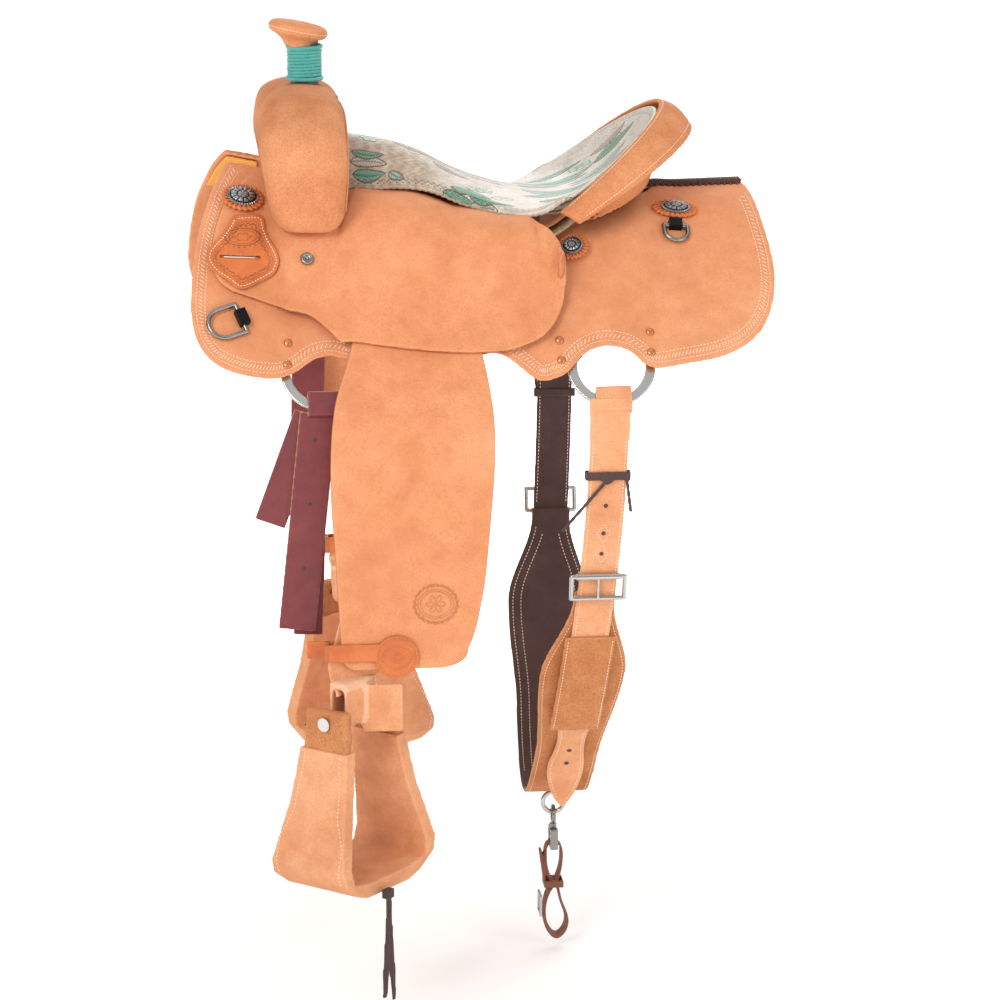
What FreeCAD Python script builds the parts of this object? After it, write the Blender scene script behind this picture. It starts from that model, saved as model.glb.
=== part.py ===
import FreeCAD, Part
import Sketcher
import math
import os
import sys

# Western saddle with rigging, stirrups and flank cinch, in millimetres.
# x runs from the front (negative, horn) to the rear (positive, cantle), z is up and y = 0 is the
# centre plane. The near (left) side has negative y. Most near pieces are mirrored to the far side.

os.makedirs("parts", exist_ok=True)
Vector = FreeCAD.Vector
Rotation = FreeCAD.Rotation
Placement = FreeCAD.Placement
X_AXIS = Vector(1, 0, 0)
Y_AXIS = Vector(0, 1, 0)
Z_AXIS = Vector(0, 0, 1)
doc = FreeCAD.newDocument("WesternSaddle")

# ---------------------------------------------------------------- driving dimensions (mm, degrees)
CELLS = [
    # leather layers over the horse's back
    ("skirt_thick", 6.0), ("fleece_thick", 10.0), ("ring_gap", 8.5), ("layer_gap", 1.5),
    ("fender_thick", 5.0), ("fender_lift", 8.0),
    ("jockey_thick", 4.5), ("jockey_low", 15.0), ("jockey_high", 40.0), ("jockey_front", 8.0),
    # tree and seat
    ("bar_thick", 16.0), ("seat_thick", 4.5), ("pad_thick", 6.5), ("ground_thick", 4.5),
    ("plate_len", 170.0), ("plate_half", 44.0), ("plate_thick", 3.0), ("plate_back", 130.0),
    # rigging rings
    ("ring_radius", 48.0), ("ring_band", 12.0), ("ring_thick", 4.5),
    ("rear_ring_x", 159.0), ("front_ring_x", -192.0), ("ring_z", -162.0),
    # horn
    ("horn_x", -203.0), ("horn_neck_r", 17.5), ("horn_cap_r", 33.0), ("horn_cap_thick", 6.0),
    ("horn_tilt", 11.0), ("horn_base_z", 150.0), ("horn_neck_len", 82.0), ("cord_r", 2.4),
    # fender swing and stirrup
    ("swing_x", -85.0), ("swing_z", -62.0), ("far_swing", 3.6),
    ("neck_x", -165.0), ("neck_y", -292.0), ("bolt_z", -577.0), ("stirrup_turn", 50.0),
    ("stirrup_top_half", 44.0), ("stirrup_low_half", 82.0), ("stirrup_tall", 205.0),
    ("tread_depth", 104.0), ("branch_depth", 62.0), ("branch_thick", 9.0), ("cover_thick", 4.0),
    ("bolt_r", 5.0), ("loop_r", 8.5), ("leather_w", 62.0),
    # small fittings
    ("rivet_r", 4.6), ("dee_wire", 2.8),
    ("ferrule_r", 7.5), ("ferrule_hole_r", 2.5), ("ferrule_len", 4.0),
    # straps and cinch
    ("latigo_w", 45.0), ("latigo_thick", 4.5), ("billet_w", 48.0), ("billet_thick", 4.5),
    ("cinch_thick", 7.0), ("cinch_w", 108.0), ("buckle_w", 66.0), ("buckle_wire", 2.8),
]
sheet = doc.addObject("Spreadsheet::Sheet", "Dims")
for row, (alias, value) in enumerate(CELLS, start=1):
    sheet.set("A%d" % row, alias)
    sheet.set("B%d" % row, str(value))
    sheet.setAlias("B%d" % row, alias)
doc.recompute()


def dim(alias):
    return float(sheet.get(alias))


GAP = dim("layer_gap")
SKIRT_THICK = dim("skirt_thick")

kept = []          # the pieces that are written out


def keep(piece, label):
    piece.Label = label
    kept.append(piece)
    return piece


# ---------------------------------------------------------------- tables and interpolation
def smooth(start, end, x):
    """Smooth step from 0 at start to 1 at end."""
    part = max(0.0, min(1.0, (x - start) / (end - start)))
    return part * part * (3 - 2 * part)


def spread(start, end, index, count):
    """Value number index of count values evenly spread from start to end."""
    return start + (end - start) * index / (count - 1.0)


def table_value(table, x, ease=False):
    """Value at x in a table of (x, value), held flat beyond its ends; ease rounds each step."""
    if x <= table[0][0]:
        return table[0][1]
    for (x0, value0), (x1, value1) in zip(table, table[1:]):
        if x <= x1:
            if ease:
                return value0 + (value1 - value0) * smooth(x0, x1, x)
            return value0 + (value1 - value0) * (x - x0) / (x1 - x0)
    return table[-1][1]


def cubic_value(table, x):
    """Catmull-Rom curve through a table of (x, value)."""
    if x <= table[0][0]:
        return table[0][1]
    if x >= table[-1][0]:
        return table[-1][1]
    i = next(k for k in range(len(table) - 1) if x <= table[k + 1][0])
    x0, value0 = table[i]
    x1, value1 = table[i + 1]
    before = table[max(i - 1, 0)]
    after = table[min(i + 2, len(table) - 1)]
    slope0 = (value1 - before[1]) / (x1 - before[0])
    slope1 = (after[1] - value0) / (after[0] - x0)
    step = x1 - x0
    part = (x - x0) / step
    return ((2 * part ** 3 - 3 * part ** 2 + 1) * value0
            + (part ** 3 - 2 * part ** 2 + part) * step * slope0
            + (-2 * part ** 3 + 3 * part ** 2) * value1
            + (part ** 3 - part ** 2) * step * slope1)


# ---------------------------------------------------------------- solids
def grid_solid(name, low, high):
    """Closed solid between two point grids of equal size."""
    surfaces = []
    for points in (low, high):
        surface = Part.BSplineSurface()
        surface.interpolate(points)
        surfaces.append(surface)

    def border(surface):
        u_min, u_max, v_min, v_max = surface.bounds()
        return [surface.vIso(v_min).toShape(), surface.uIso(u_max).toShape(),
                surface.vIso(v_max).toShape(), surface.uIso(u_min).toShape()]

    faces = [surface.toShape() for surface in surfaces]
    for low_edge, high_edge in zip(border(surfaces[0]), border(surfaces[1])):
        faces.append(Part.makeRuledSurface(low_edge, high_edge))
    shell = Part.makeShell(faces)
    shell.sewShape()
    if shell.ShapeType != "Shell":
        shell = shell.Shells[0]
    solid = Part.Solid(shell)
    if solid.Volume < 0:
        solid = Part.Solid(shell.reversed())
    feature = doc.addObject("Part::Feature", name)
    feature.Shape = solid
    return feature


def layer_solid(name, rows, columns, pair_at):
    """Layer whose low and high points at row i, column j are pair_at(i, j)."""
    pairs = [[pair_at(i, j) for j in range(columns)] for i in range(rows)]
    low = [[pair[0] for pair in line] for line in pairs]
    high = [[pair[1] for pair in line] for line in pairs]
    return grid_solid(name, low, high)


PLANES = {
    "XY": Placement(),
    "XZ": Placement(Vector(0, 0, 0), Rotation(X_AXIS, 90)),
    "YZ": Placement(Vector(0, 0, 0), Rotation(Vector(1, 1, 1), 120)),
}


def outline(name, points, plane="XZ", poly=False, placement=None):
    """Closed outline sketch, spline or polygon; points are pairs in the plane's own axes."""
    sketch = doc.addObject("Sketcher::SketchObject", name)
    corners = [Vector(across, up, 0) for across, up in points]
    if poly:
        for start, end in zip(corners, corners[1:] + corners[:1]):
            sketch.addGeometry(Part.LineSegment(start, end), False)
    else:
        curve = Part.BSplineCurve()
        curve.interpolate(Points=corners, PeriodicFlag=True)
        sketch.addGeometry(curve, False)
    sketch.Placement = placement or PLANES[plane]
    return sketch


def extrude(name, sketch, forward, backward=0.0, direction=None, bind=None):
    prism = doc.addObject("Part::Extrusion", name)
    prism.Base = sketch
    if direction is None:
        prism.DirMode = "Normal"
    else:
        prism.DirMode = "Custom"
        prism.Dir = direction
    prism.LengthFwd = forward
    prism.LengthRev = backward
    prism.Solid = True
    if bind:
        prism.setExpression("LengthFwd", bind)
    return prism


def two_shapes(kind, name, base, tool):
    result = doc.addObject(kind, name)
    result.Base = base
    result.Tool = tool
    return result


def cut(name, base, tool):
    return two_shapes("Part::Cut", name, base, tool)


def common(name, base, tool):
    return two_shapes("Part::Common", name, base, tool)


def fuse(name, items):
    result = doc.addObject("Part::MultiFuse", name)
    result.Shapes = items
    return result


def compound(name, items):
    result = doc.addObject("Part::Compound", name)
    result.Links = items
    return result


def mirror(name, source):
    """Far-side copy, mirrored in the centre plane."""
    result = doc.addObject("Part::Mirroring", name)
    result.Source = source
    result.Normal = Y_AXIS
    result.Base = Vector(0, 0, 0)
    return result


def pair(piece, mirror_name):
    return [piece, mirror(mirror_name, piece)]


def box(name, size_x, size_y, size_z, centre, rotation=None):
    """Box centred on a point, turned about that point."""
    result = doc.addObject("Part::Box", name)
    result.Length, result.Width, result.Height = size_x, size_y, size_z
    turn = rotation or Rotation()
    to_corner = Vector(-size_x / 2.0, -size_y / 2.0, -size_z / 2.0)
    result.Placement = Placement(Vector(*centre) + turn.multVec(to_corner), turn)
    return result


def cylinder(name, radius, length, position, direction, bind=None, centred=True):
    """Cylinder centred on position or starting there; bind maps properties to expressions."""
    result = doc.addObject("Part::Cylinder", name)
    result.Radius, result.Height = radius, length
    axis = Vector(*direction)
    axis.normalize()
    start = Vector(*position)
    if centred:
        start = start - axis * (length / 2.0)
    result.Placement = Placement(start, Rotation(Z_AXIS, axis))
    for name_of_property, expression in (bind or {}).items():
        result.setExpression(name_of_property, expression)
    return result


def torus(name, major, minor, placement, sweep=360.0):
    result = doc.addObject("Part::Torus", name)
    result.Radius1, result.Radius2, result.Angle3 = major, minor, sweep
    result.Placement = placement
    return result


def sphere(name, radius, centre):
    result = doc.addObject("Part::Sphere", name)
    result.Radius = radius
    result.Placement = Placement(Vector(*centre), Rotation())
    return result


def about_y(angle):
    return Rotation(Y_AXIS, angle)


def about_z(angle):
    return Rotation(Z_AXIS, angle)


def facing(normal):
    """Rotation with local z along normal and local x as near to world x as it can be."""
    return Rotation(X_AXIS, normal.cross(X_AXIS), normal, "ZXY")


# ---------------------------------------------------------------- the flank: shape of the back
# Middle of the back: a parabola across, going on as a straight slope beyond FLAT_Y.
CROWN_Z = 72.0
CROWN_RADIUS = 100.0
FLAT_Y = 150.0
FLAT_Z = CROWN_Z - FLAT_Y ** 2 / (2 * CROWN_RADIUS)
TOP_BLEND = 24.0

# upper limit of the flank: (x, z)
TOP_LINE = [(-360, 92), (-262, 84), (-205, 44), (-150, 10), (-90, -8), (-20, -26), (40, -34),
            (104, -33), (160, -4), (208, 19), (250, 28), (380, 33)]


def flank_z(x, y):
    """Height of the flank at x and distance y from the centre plane."""
    y = abs(y)
    front = 1 - smooth(-345, -215, x)
    rear = smooth(120, 270, x)
    crown = CROWN_Z + 18 * front - 42 * rear
    radius = CROWN_RADIUS + 6 * front + 30 * rear
    if y < FLAT_Y:
        side = crown - y * y / (2 * radius)
    else:
        side = crown - FLAT_Y ** 2 / (2 * radius) - FLAT_Y / radius * (y - FLAT_Y)
    top = table_value(TOP_LINE, x, ease=True)
    blend = max(TOP_BLEND - abs(top - side), 0.0) / TOP_BLEND
    return min(top, side) - blend * blend * TOP_BLEND / 4


def flank(x, y, offset):
    """Near-side point at an outward offset; y is the distance from the centre plane."""
    step = 0.4
    slope_x = (flank_z(x + step, y) - flank_z(x - step, y)) / (2 * step)
    slope_y = (flank_z(x, y + step) - flank_z(x, y - step)) / (2 * step)
    normal = Vector(-slope_x, slope_y, 1.0)
    normal.normalize()
    return Vector(x, -y, flank_z(x, y)) + normal * offset


def foot_y(x, z, offset_at, low=0.0, high=300.0):
    """Distance y at which the offset flank passes height z."""
    for _ in range(50):
        middle = (low + high) / 2
        if flank(x, middle, offset_at(x, middle)).z > z:
            low = middle
        else:
            high = middle
    return (low + high) / 2


def on_flank(x, z, offset):
    """Placement on the near flank at x and height z, local z pointing outward."""
    y = foot_y(x, z, lambda x, y: offset)
    point = flank(x, y, offset)
    normal = flank(x, y, offset + 1) - point
    normal.normalize()
    return Placement(point, facing(normal))


def flank_layer(name, x0, x1, inner_y, outer_y, offsets, rows, columns):
    """Layer over the flank; inner_y(x) is its upper border, offsets(x, y) its low and high."""
    def pair_at(i, j):
        x = spread(x0, x1, i, rows)
        y = spread(inner_y(x), outer_y, j, columns)
        low, high = offsets(x, y)
        return flank(x, y, low), flank(x, y, high)
    return layer_solid(name, rows, columns, pair_at)


def trimmed(stem, name, layer, points, reach=320.0):
    """Layer cut to a side-view outline, taken through the near side."""
    sketch = outline(stem + "Outline", points)
    prism = extrude(stem + "Prism", sketch, reach, direction=Vector(0, -1, 0))
    return common(name, layer, prism)


# ---------------------------------------------------------------- outlines in side view: (x, z)
SKIRT = [
    (-240, 118), (-262, 108), (-285, 96), (-303.8, 74), (-319.7, 52.0), (-329, 31.8),
    (-337, 12.2), (-343.3, -9.4), (-348.4, -35.4), (-351.8, -64.7), (-353.0, -84.3),
    (-351.3, -103.9), (-346.4, -121.4), (-336.1, -137.2), (-321.4, -149.2), (-297.9, -159.2),
    (-272.2, -165.2), (-250.7, -167.1), (-233.1, -163.7), (-219.9, -157.1), (-206.4, -148.5),
    (-193.2, -144.9), (-180.2, -144.7), (-167.3, -148.1), (-134.7, -153.0), (-88.4, -153.7),
    (-39.5, -152.3), (-2.4, -146.3), (24.2, -145.9), (37.0, -152.9), (49.7, -162.6),
    (64.9, -173.6), (75, -176.1), (86.1, -173.9), (99.8, -169.4), (108.1, -163.5),
    (116.9, -154.2), (128.1, -145.9), (141.7, -140.0), (157.8, -138.1), (176.2, -141.3),
    (188.6, -148.4), (198.4, -157.7), (209.0, -161.9), (224, -161.5), (248.8, -158.1),
    (284.0, -152.9), (309.3, -146.3), (329.3, -137.2), (347.2, -123.5), (360.4, -104.9),
    (368.4, -86.0), (372.1, -64.7), (371.1, -36.0), (366.2, -7.8), (361.1, 17.2), (356, 34),
    (350, 50), (340, 70), (300, 90), (200, 110), (0, 120), (-160, 122)]
LINING = [(-258, 90), (-285, 84), (-303, 64), (-317, 44), (-326, 24), (-329, 10), (-300, 4),
          (-262, 4), (-250, 40)]
KEEPER = [
    (-298.6, 16), (-303.7, 8), (-312, -2), (-321.4, -10), (-330, -20), (-331.5, -31.4),
    (-322.5, -44.0), (-306, -55), (-292.8, -64), (-279, -61.5), (-265.7, -56.2),
    (-251.0, -49.0), (-244.6, -38), (-244, -30), (-247.8, -20), (-255, -8), (-259.5, 4),
    (-261.8, 15), (-268, 18), (-280, 18.5), (-291, 18)]
FENDER = [
    (-152.2, -150), (-159.5, -156), (-168.4, -171), (-177.5, -192.0), (-183.5, -216),
    (-186.9, -245.2), (-188.1, -280.5), (-187.4, -321.9), (-184.4, -363.4), (-182.3, -405.4),
    (-179.9, -447.6), (-177.5, -490.0), (-174, -509), (-160, -517.0), (-135, -519.6),
    (-100.0, -520.1), (-77.8, -521.0), (-58.5, -519.8), (-39.3, -513.9), (-25.5, -498.8),
    (-15.7, -474.5), (-8.9, -443.5), (-3.3, -409.8), (0.9, -367.7), (4.6, -326.1),
    (7.9, -284.6), (9.6, -246), (8.9, -215), (5.8, -188.0), (1, -166), (-4, -152)]

# ---------------------------------------------------------------- skirts, fleece, front linings
# upper borders of the layers: (x, distance y from the centre plane)
SKIRT_INNER = [(-370, 58), (-250, 56), (-225, 50), (210, 48), (246, 4), (380, 4)]
FLEECE_INNER = [(-370, 124), (-285, 124), (-240, 58), (-225, 52), (210, 50), (246, 8), (380, 8)]
SKIRT_OUTER_Y = 262.0

layer = flank_layer("SkirtLayer", -362, 380,
                    lambda x: table_value(SKIRT_INNER, x, ease=True), SKIRT_OUTER_Y,
                    lambda x, y: (0.0, SKIRT_THICK), 34, 20)
skirt = trimmed("Skirt", "SkirtLeft", layer, SKIRT)
keep(skirt, "skirt_left")
keep(mirror("SkirtRight", skirt), "skirt_right")

# The fleece outline is a little shorter than the skirt's and its lower edge is higher.
FLEECE_HIGH = -dim("ring_gap")
FLEECE_LOW = FLEECE_HIGH - dim("fleece_thick")
layer = flank_layer("FleeceLayer", -362, 380,
                    lambda x: table_value(FLEECE_INNER, x, ease=True), SKIRT_OUTER_Y,
                    lambda x, y: (FLEECE_LOW, FLEECE_HIGH), 34, 20)
fleece = trimmed("Fleece", "FleeceLeft", layer,
                 [(x * 0.985, z + (4 if z < 0 else 0)) for x, z in SKIRT])
keep(compound("FleeceLinings", pair(fleece, "FleeceRight")), "fleece_linings")

layer = flank_layer("LiningLayer", -336, -262, lambda x: 60.0, 118.0,
                    lambda x, y: (-5.0, -GAP), 10, 8)
lining = trimmed("Lining", "LiningLeft", layer, LINING)
keep(compound("FrontLinings", pair(lining, "LiningRight")), "front_linings")

# ---------------------------------------------------------------- saddle tree: bars
BAR_LOW = SKIRT_THICK + GAP


def bar_top(x, y):
    """Offset of the bar's upper face: thin at the edges, at the ends and under the fork."""
    edge = smooth(48, 66, y) * (1 - smooth(118, 150, y))
    end = smooth(-262, -225, x) * (1 - smooth(70, 112, x))
    under_fork = 1 - 0.97 * smooth(-205, -180, x) * (1 - smooth(-142, -112, x))
    return BAR_LOW + 5 + (dim("bar_thick") - 5) * edge * (0.35 + 0.65 * end) * under_fork


def bar_pair(i, j):
    """Points of the bar, whose grid narrows toward both ends."""
    along = spread(-1.0, 1.0, i, 25)
    x = -58.0 + 164.0 * math.sin(along * 1.36) / math.sin(1.36)
    half = 47.0 * (0.16 + 0.84 * (1 - abs(along) ** 3.2))
    y = 100.0 + half * spread(-1.0, 1.0, j, 15)
    return flank(x, y, BAR_LOW), flank(x, y, bar_top(x, y))


bar = layer_solid("BarLeft", 25, 15, bar_pair)
keep(compound("TreeBars", pair(bar, "BarRight")), "tree_bars")

# ---------------------------------------------------------------- jockeys (over bars and fenders)
JOCKEY_THICK = dim("jockey_thick")
# lower and upper edges in side view: (x, z)
JOCKEY_LOWER = [
    (-327, -36), (-321.7, -54), (-311.0, -65), (-296, -72.0), (-282.8, -76.0),
    (-256.9, -85.5), (-230.9, -93.2), (-213.5, -95.0), (-200.7, -99.2), (-192.4, -109.0),
    (-186.2, -119.0), (-177.9, -124.6), (-162.7, -127.0), (-151.4, -128.2), (-105.5, -134.6),
    (-59.5, -139.7), (-24.2, -141.9), (-2.2, -141.7), (23.1, -141.1), (50.0, -136.4),
    (71.9, -125.9), (88.9, -111.7), (99.5, -93.8), (104.8, -77.0), (108, -60)]
JOCKEY_UPPER = [
    (-327, -24), (-323.7, -1.9), (-315.3, 19.6), (-305.2, 37.0), (-284.4, 55.6), (-273.2, 60),
    (-262, 58), (-250, 42), (-240, 30), (-228, 22), (-205, 19), (-182, 22), (-166, 30),
    (-152, 42), (-121.8, 43.3), (-96.8, 46.3), (-65.0, 54.0), (-42.3, 49.5), (-18, 37),
    (7.2, 24.2), (31.3, 14.5), (55.6, 8.5), (72, 7.0), (88, 2.0), (100, -12), (106, -27.4),
    (108, -42)]
# least distance from the centre plane: (x, y)
JOCKEY_INNER = [(-335, 62), (-240, 60), (-150, 58), (-60, 62), (0, 90), (60, 112), (116, 120)]


def jockey_offset(x, y):
    """Offset of the jockey's underside: high over the bars, low over the fender and in front."""
    low = dim("jockey_low")
    rear = low + (dim("jockey_high") - low) * (1 - smooth(128, 196, y))
    middle = 26.0 - (26 - low) * smooth(150, 205, y)
    to_middle = 1 - smooth(-150, -100, x)
    offset = rear * (1 - to_middle) + middle * to_middle
    to_front = 1 - smooth(-262, -222, x)
    return offset * (1 - to_front) + dim("jockey_front") * to_front


def soft_edge(table, x, reach):
    """Edge height averaged over five places around x."""
    return sum(table_value(table, x + reach * k) for k in (-1.0, -0.5, 0, 0.5, 1.0)) / 5.0


def jockey_pair(i, j):
    """Points of the jockey, whose border follows its two edge lines column by column."""
    along = spread(-1.0, 1.0, i, 30)
    x = -109.6 + 216.4 * math.sin(along * 1.25) / math.sin(1.25)
    reach = min(10.0, 0.3 + 0.3 * min(x + 326.0, 106.8 - x))
    inner, outer = [foot_y(x, soft_edge(table, x, reach), jockey_offset, 58.0, 262.0)
                    for table in (JOCKEY_UPPER, JOCKEY_LOWER)]
    inner = max(inner, table_value(JOCKEY_INNER, x))
    y = spread(inner, max(outer, inner + 6.0), j, 12)
    low = jockey_offset(x, y)
    return flank(x, y, low), flank(x, y, low + JOCKEY_THICK)


jockey = layer_solid("JockeyLeft", 30, 12, jockey_pair)
keep(compound("SeatJockeys", pair(jockey, "JockeyRight")), "seat_jockeys")

# ---------------------------------------------------------------- seat: ground seat, pad, cover
RIM_HALF = 158.0
SEAT_FRONT_X = -152
# height of the seat along its centre and along its edge: (x, z)
SEAT_CENTRE = [(-155, 101), (-121, 95), (-96, 90), (-58, 76), (-20, 56), (18, 41), (57, 30),
               (95, 25), (260, 24)]
SEAT_EDGE = [(-155, 52), (-120, 50), (-80, 51), (-45, 46), (0, 27), (40, 14), (92, 9), (260, 9)]
# half width of the seat's grid: (fraction of the length, y)
SEAT_GRID = [(0.0, 60), (0.22, 70), (0.42, 84), (0.63, 106), (0.83, 130), (1.0, 157)]
# half width at which the edge height is reached: (x, y)
SEAT_HALF = [(-152, 60), (-100, 70), (-50, 84), (0, 106), (50, 130), (92, 157), (260, 158)]


def rim(y):
    """x and z of the cantle rim at y."""
    drop = 1 - math.sqrt(max(0.0, 1 - (y / RIM_HALF) ** 2))
    return 246 - 154 * drop, 138 - 128 * drop


def seat_z(x, y):
    """Height of the seat's upper face, rising to the rim behind."""
    centre = cubic_value(SEAT_CENTRE, x)
    edge = cubic_value(SEAT_EDGE, x)
    across = min(1.0, abs(y) / cubic_value(SEAT_HALF, x))
    height = centre - (centre - edge) * across ** 2.2
    rim_x, rim_z = rim(min(abs(y), RIM_HALF))
    ahead = (rim_x - x) / 150.0
    if ahead < 1:
        height = height + (rim_z - height) * (1 - max(ahead, 0)) ** 2.2
    return height


def seat_offset(x, y, offset):
    """Point of the seat's face at x and y, moved along the face's normal."""
    step = 0.5
    normal = Vector(-(seat_z(x + step, y) - seat_z(x - step, y)) / (2 * step),
                    -(seat_z(x, y + step) - seat_z(x, y - step)) / (2 * step), 1.0)
    normal.normalize()
    return Vector(x, y, seat_z(x, y)) + normal * offset, normal


def seat_layer(name, start, end, reach, low, thick):
    """Seat layer from start to end of the length, reach being its share of the half width."""
    def pair_at(i, j):
        along = spread(start, end, i, 26)
        across = spread(-reach, reach, j, 19)
        x = SEAT_FRONT_X + (rim(across * 157.0)[0] - SEAT_FRONT_X) * along
        y = across * cubic_value(SEAT_GRID, along)
        return seat_offset(x, y, low)[0], seat_offset(x, y, low + thick)[0]
    return layer_solid(name, 26, 19, pair_at)


SEAT_THICK = dim("seat_thick")
PAD_LOW = -SEAT_THICK - GAP - dim("pad_thick")
GROUND_LOW = PAD_LOW - GAP - dim("ground_thick")
keep(seat_layer("SeatCover", 0.0, 0.985, 0.985, -SEAT_THICK, SEAT_THICK), "seat_cover")
keep(seat_layer("SeatPad", 0.04, 0.78, 0.80, PAD_LOW, dim("pad_thick")), "seat_pad")
keep(seat_layer("GroundSeat", 0.0, 0.86, 0.62, GROUND_LOW, dim("ground_thick")), "ground_seat")

plate = doc.addObject("Part::Box", "StrainerPlate")
plate.setExpression("Length", "Dims.plate_len")
plate.setExpression("Width", "2*Dims.plate_half")
plate.setExpression("Height", "Dims.plate_thick")
plate.Placement = Placement(
    Vector(dim("plate_back") - dim("plate_len"), -dim("plate_half"), 0), Rotation())
keep(plate, "strainer_plate")


# ---------------------------------------------------------------- cantle: roll, back and core
def cantle_curves(around):
    """Rim, rear edge of the roll and foot of the back; around goes from -1 near to 1 far."""
    drop = 1 - math.cos(math.pi / 2 * around)
    side = math.sin(math.pi / 2 * around)
    return (Vector(246 - 150 * drop, 157 * side, 139 - 126 * drop),
            Vector(288 - 170 * drop, 172 * side, 107 - 106 * drop),
            Vector(232 - 100 * drop, 160 * side, 40 - 40 * drop))


def cantle_up(around):
    angle = math.pi / 2 * around
    up = Vector(0.25 * math.cos(angle), math.sin(angle) * 0.75, 0.95 * math.cos(angle) + 0.30)
    up.normalize()
    return up


def roll_pair(around, part):
    """Roll from the rim to its rear edge."""
    rim_point, rear, _ = cantle_curves(around)
    up = cantle_up(around)
    bulge = 9.0 * math.sin(math.pi * min(1, part * 0.9 + 0.05))
    point = rim_point + (rear - rim_point) * part + up * bulge
    thick = 4.0 + 5.0 * math.sin(math.pi * part)
    return point - up * (2 + thick), point - up * 2


def back_pair(around, part):
    """Back of the cantle, from under the roll down to its foot."""
    rim_point, rear, foot = cantle_curves(around)
    top = rear - (rear - rim_point) * 0.12 - cantle_up(around) * 9.5
    inward = rim_point - rear
    inward.normalize()
    point = top + (foot - top) * part + inward * (8.0 * math.sin(math.pi * part))
    return point + inward * 5.0, point


def core_pair(around, part):
    """Wooden core below the seat's dish."""
    y = cantle_curves(around)[0].y * 0.93
    x = rim(y)[0] - 6 - 44 * part
    front, normal = seat_offset(x, y, -(SEAT_THICK + GAP + 1.0))
    return front - normal * (12.0 * (1 - 0.25 * abs(around))), front


def cantle_solid(name, pair_of, rows=21, columns=9, reach=0.97):
    return layer_solid(name, rows, columns, lambda i, j: pair_of(
        spread(-reach, reach, i, rows), j / (columns - 1.0)))


keep(cantle_solid("CantleRoll", roll_pair), "cantle_roll")
keep(cantle_solid("CantleBack", back_pair), "cantle_back")
keep(cantle_solid("TreeCantle", core_pair, 19, 7, 0.80), "tree_cantle")

# ---------------------------------------------------------------- fork: wood arch and its cover
# sections round the arch: (angle from the near side, outer radius, inner radius, front x, rear x)
ARCH = [(2, 173, 150, -243, -163), (16, 180, 129, -257, -157), (33, 186, 107, -264, -157),
        (50, 180, 88, -264, -158), (68, 158, 80, -260, -160), (90, 145, 80, -250, -162),
        (112, 158, 80, -260, -160), (130, 180, 88, -264, -158), (147, 186, 107, -264, -157),
        (164, 180, 129, -257, -157), (178, 173, 150, -243, -163)]
ARCH_CENTRE_Z = 18.0
ARCH_POINTS = 21
ARCH_POWER = 2 / 2.6     # of the superellipse that makes a section


def arch_row(section, shrink):
    """Points over the front, top and rear of one section; the underside stays open."""
    angle, outer, inner, front, rear = section
    outer, inner, front, rear = outer - shrink, inner + shrink, front + shrink, rear - shrink
    around = math.radians(angle)
    points = []
    for i in range(ARCH_POINTS):
        turn = math.radians(212 - 244.0 * i / (ARCH_POINTS - 1.0))
        cosine, sine = math.cos(turn), math.sin(turn)
        x = (front + rear) / 2.0 + (rear - front) / 2.0 * math.copysign(
            abs(cosine) ** ARCH_POWER, cosine)
        radius = (outer + inner) / 2.0 + (outer - inner) / 2.0 * math.copysign(
            abs(sine) ** ARCH_POWER, sine)
        points.append(Vector(x, -radius * math.cos(around),
                             ARCH_CENTRE_Z + radius * math.sin(around)))
    return points


def arch_grid(shrink):
    return [arch_row(section, shrink) for section in ARCH]


def chord_row(points):
    """Underside of one wood section: its chord, moved away from the top of the section."""
    last = len(points) - 1.0
    chord = [points[0] + (points[-1] - points[0]) * (i / last) for i in range(len(points))]
    down = chord[10] - points[10]
    down.normalize()
    return [point + down * 4.0 for point in chord]


shell = grid_solid("SwellShell", arch_grid(3.5), arch_grid(0.0))
wood_top = arch_grid(5.0)
wood = grid_solid("ForkWood", [chord_row(points) for points in wood_top], wood_top)

HORN_X = dim("horn_x")
HORN_BASE_Z = dim("horn_base_z")
NECK_R = dim("horn_neck_r")
neck_hole = cylinder("NeckHole", NECK_R + 1.2, 60, (HORN_X, 0, HORN_BASE_Z), Z_AXIS)
keep(cut("SwellCover", shell, neck_hole), "swell_cover")
socket = cylinder("HornSocket", NECK_R + 0.3, 60, (HORN_X, 0, HORN_BASE_Z - 0.3), Z_AXIS,
                  centred=False)
keep(cut("TreeFork", wood, socket), "tree_fork")

# ---------------------------------------------------------------- horn, cap cover and cord wrap
neck = cylinder("HornNeck", NECK_R, dim("horn_neck_len"), (HORN_X, 0, HORN_BASE_Z), Z_AXIS,
                {"Radius": "Dims.horn_neck_r", "Height": "Dims.horn_neck_len"}, centred=False)
tilt = math.radians(dim("horn_tilt"))
cap_axis = Vector(math.sin(tilt), 0, math.cos(tilt))
cap_base = Vector(HORN_X - 8, 0, HORN_BASE_Z + 80)
cap = cylinder("HornCap", dim("horn_cap_r"), dim("horn_cap_thick"), cap_base, cap_axis,
               {"Radius": "Dims.horn_cap_r", "Height": "Dims.horn_cap_thick"}, centred=False)
keep(fuse("Horn", [neck, cap]), "horn")

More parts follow.
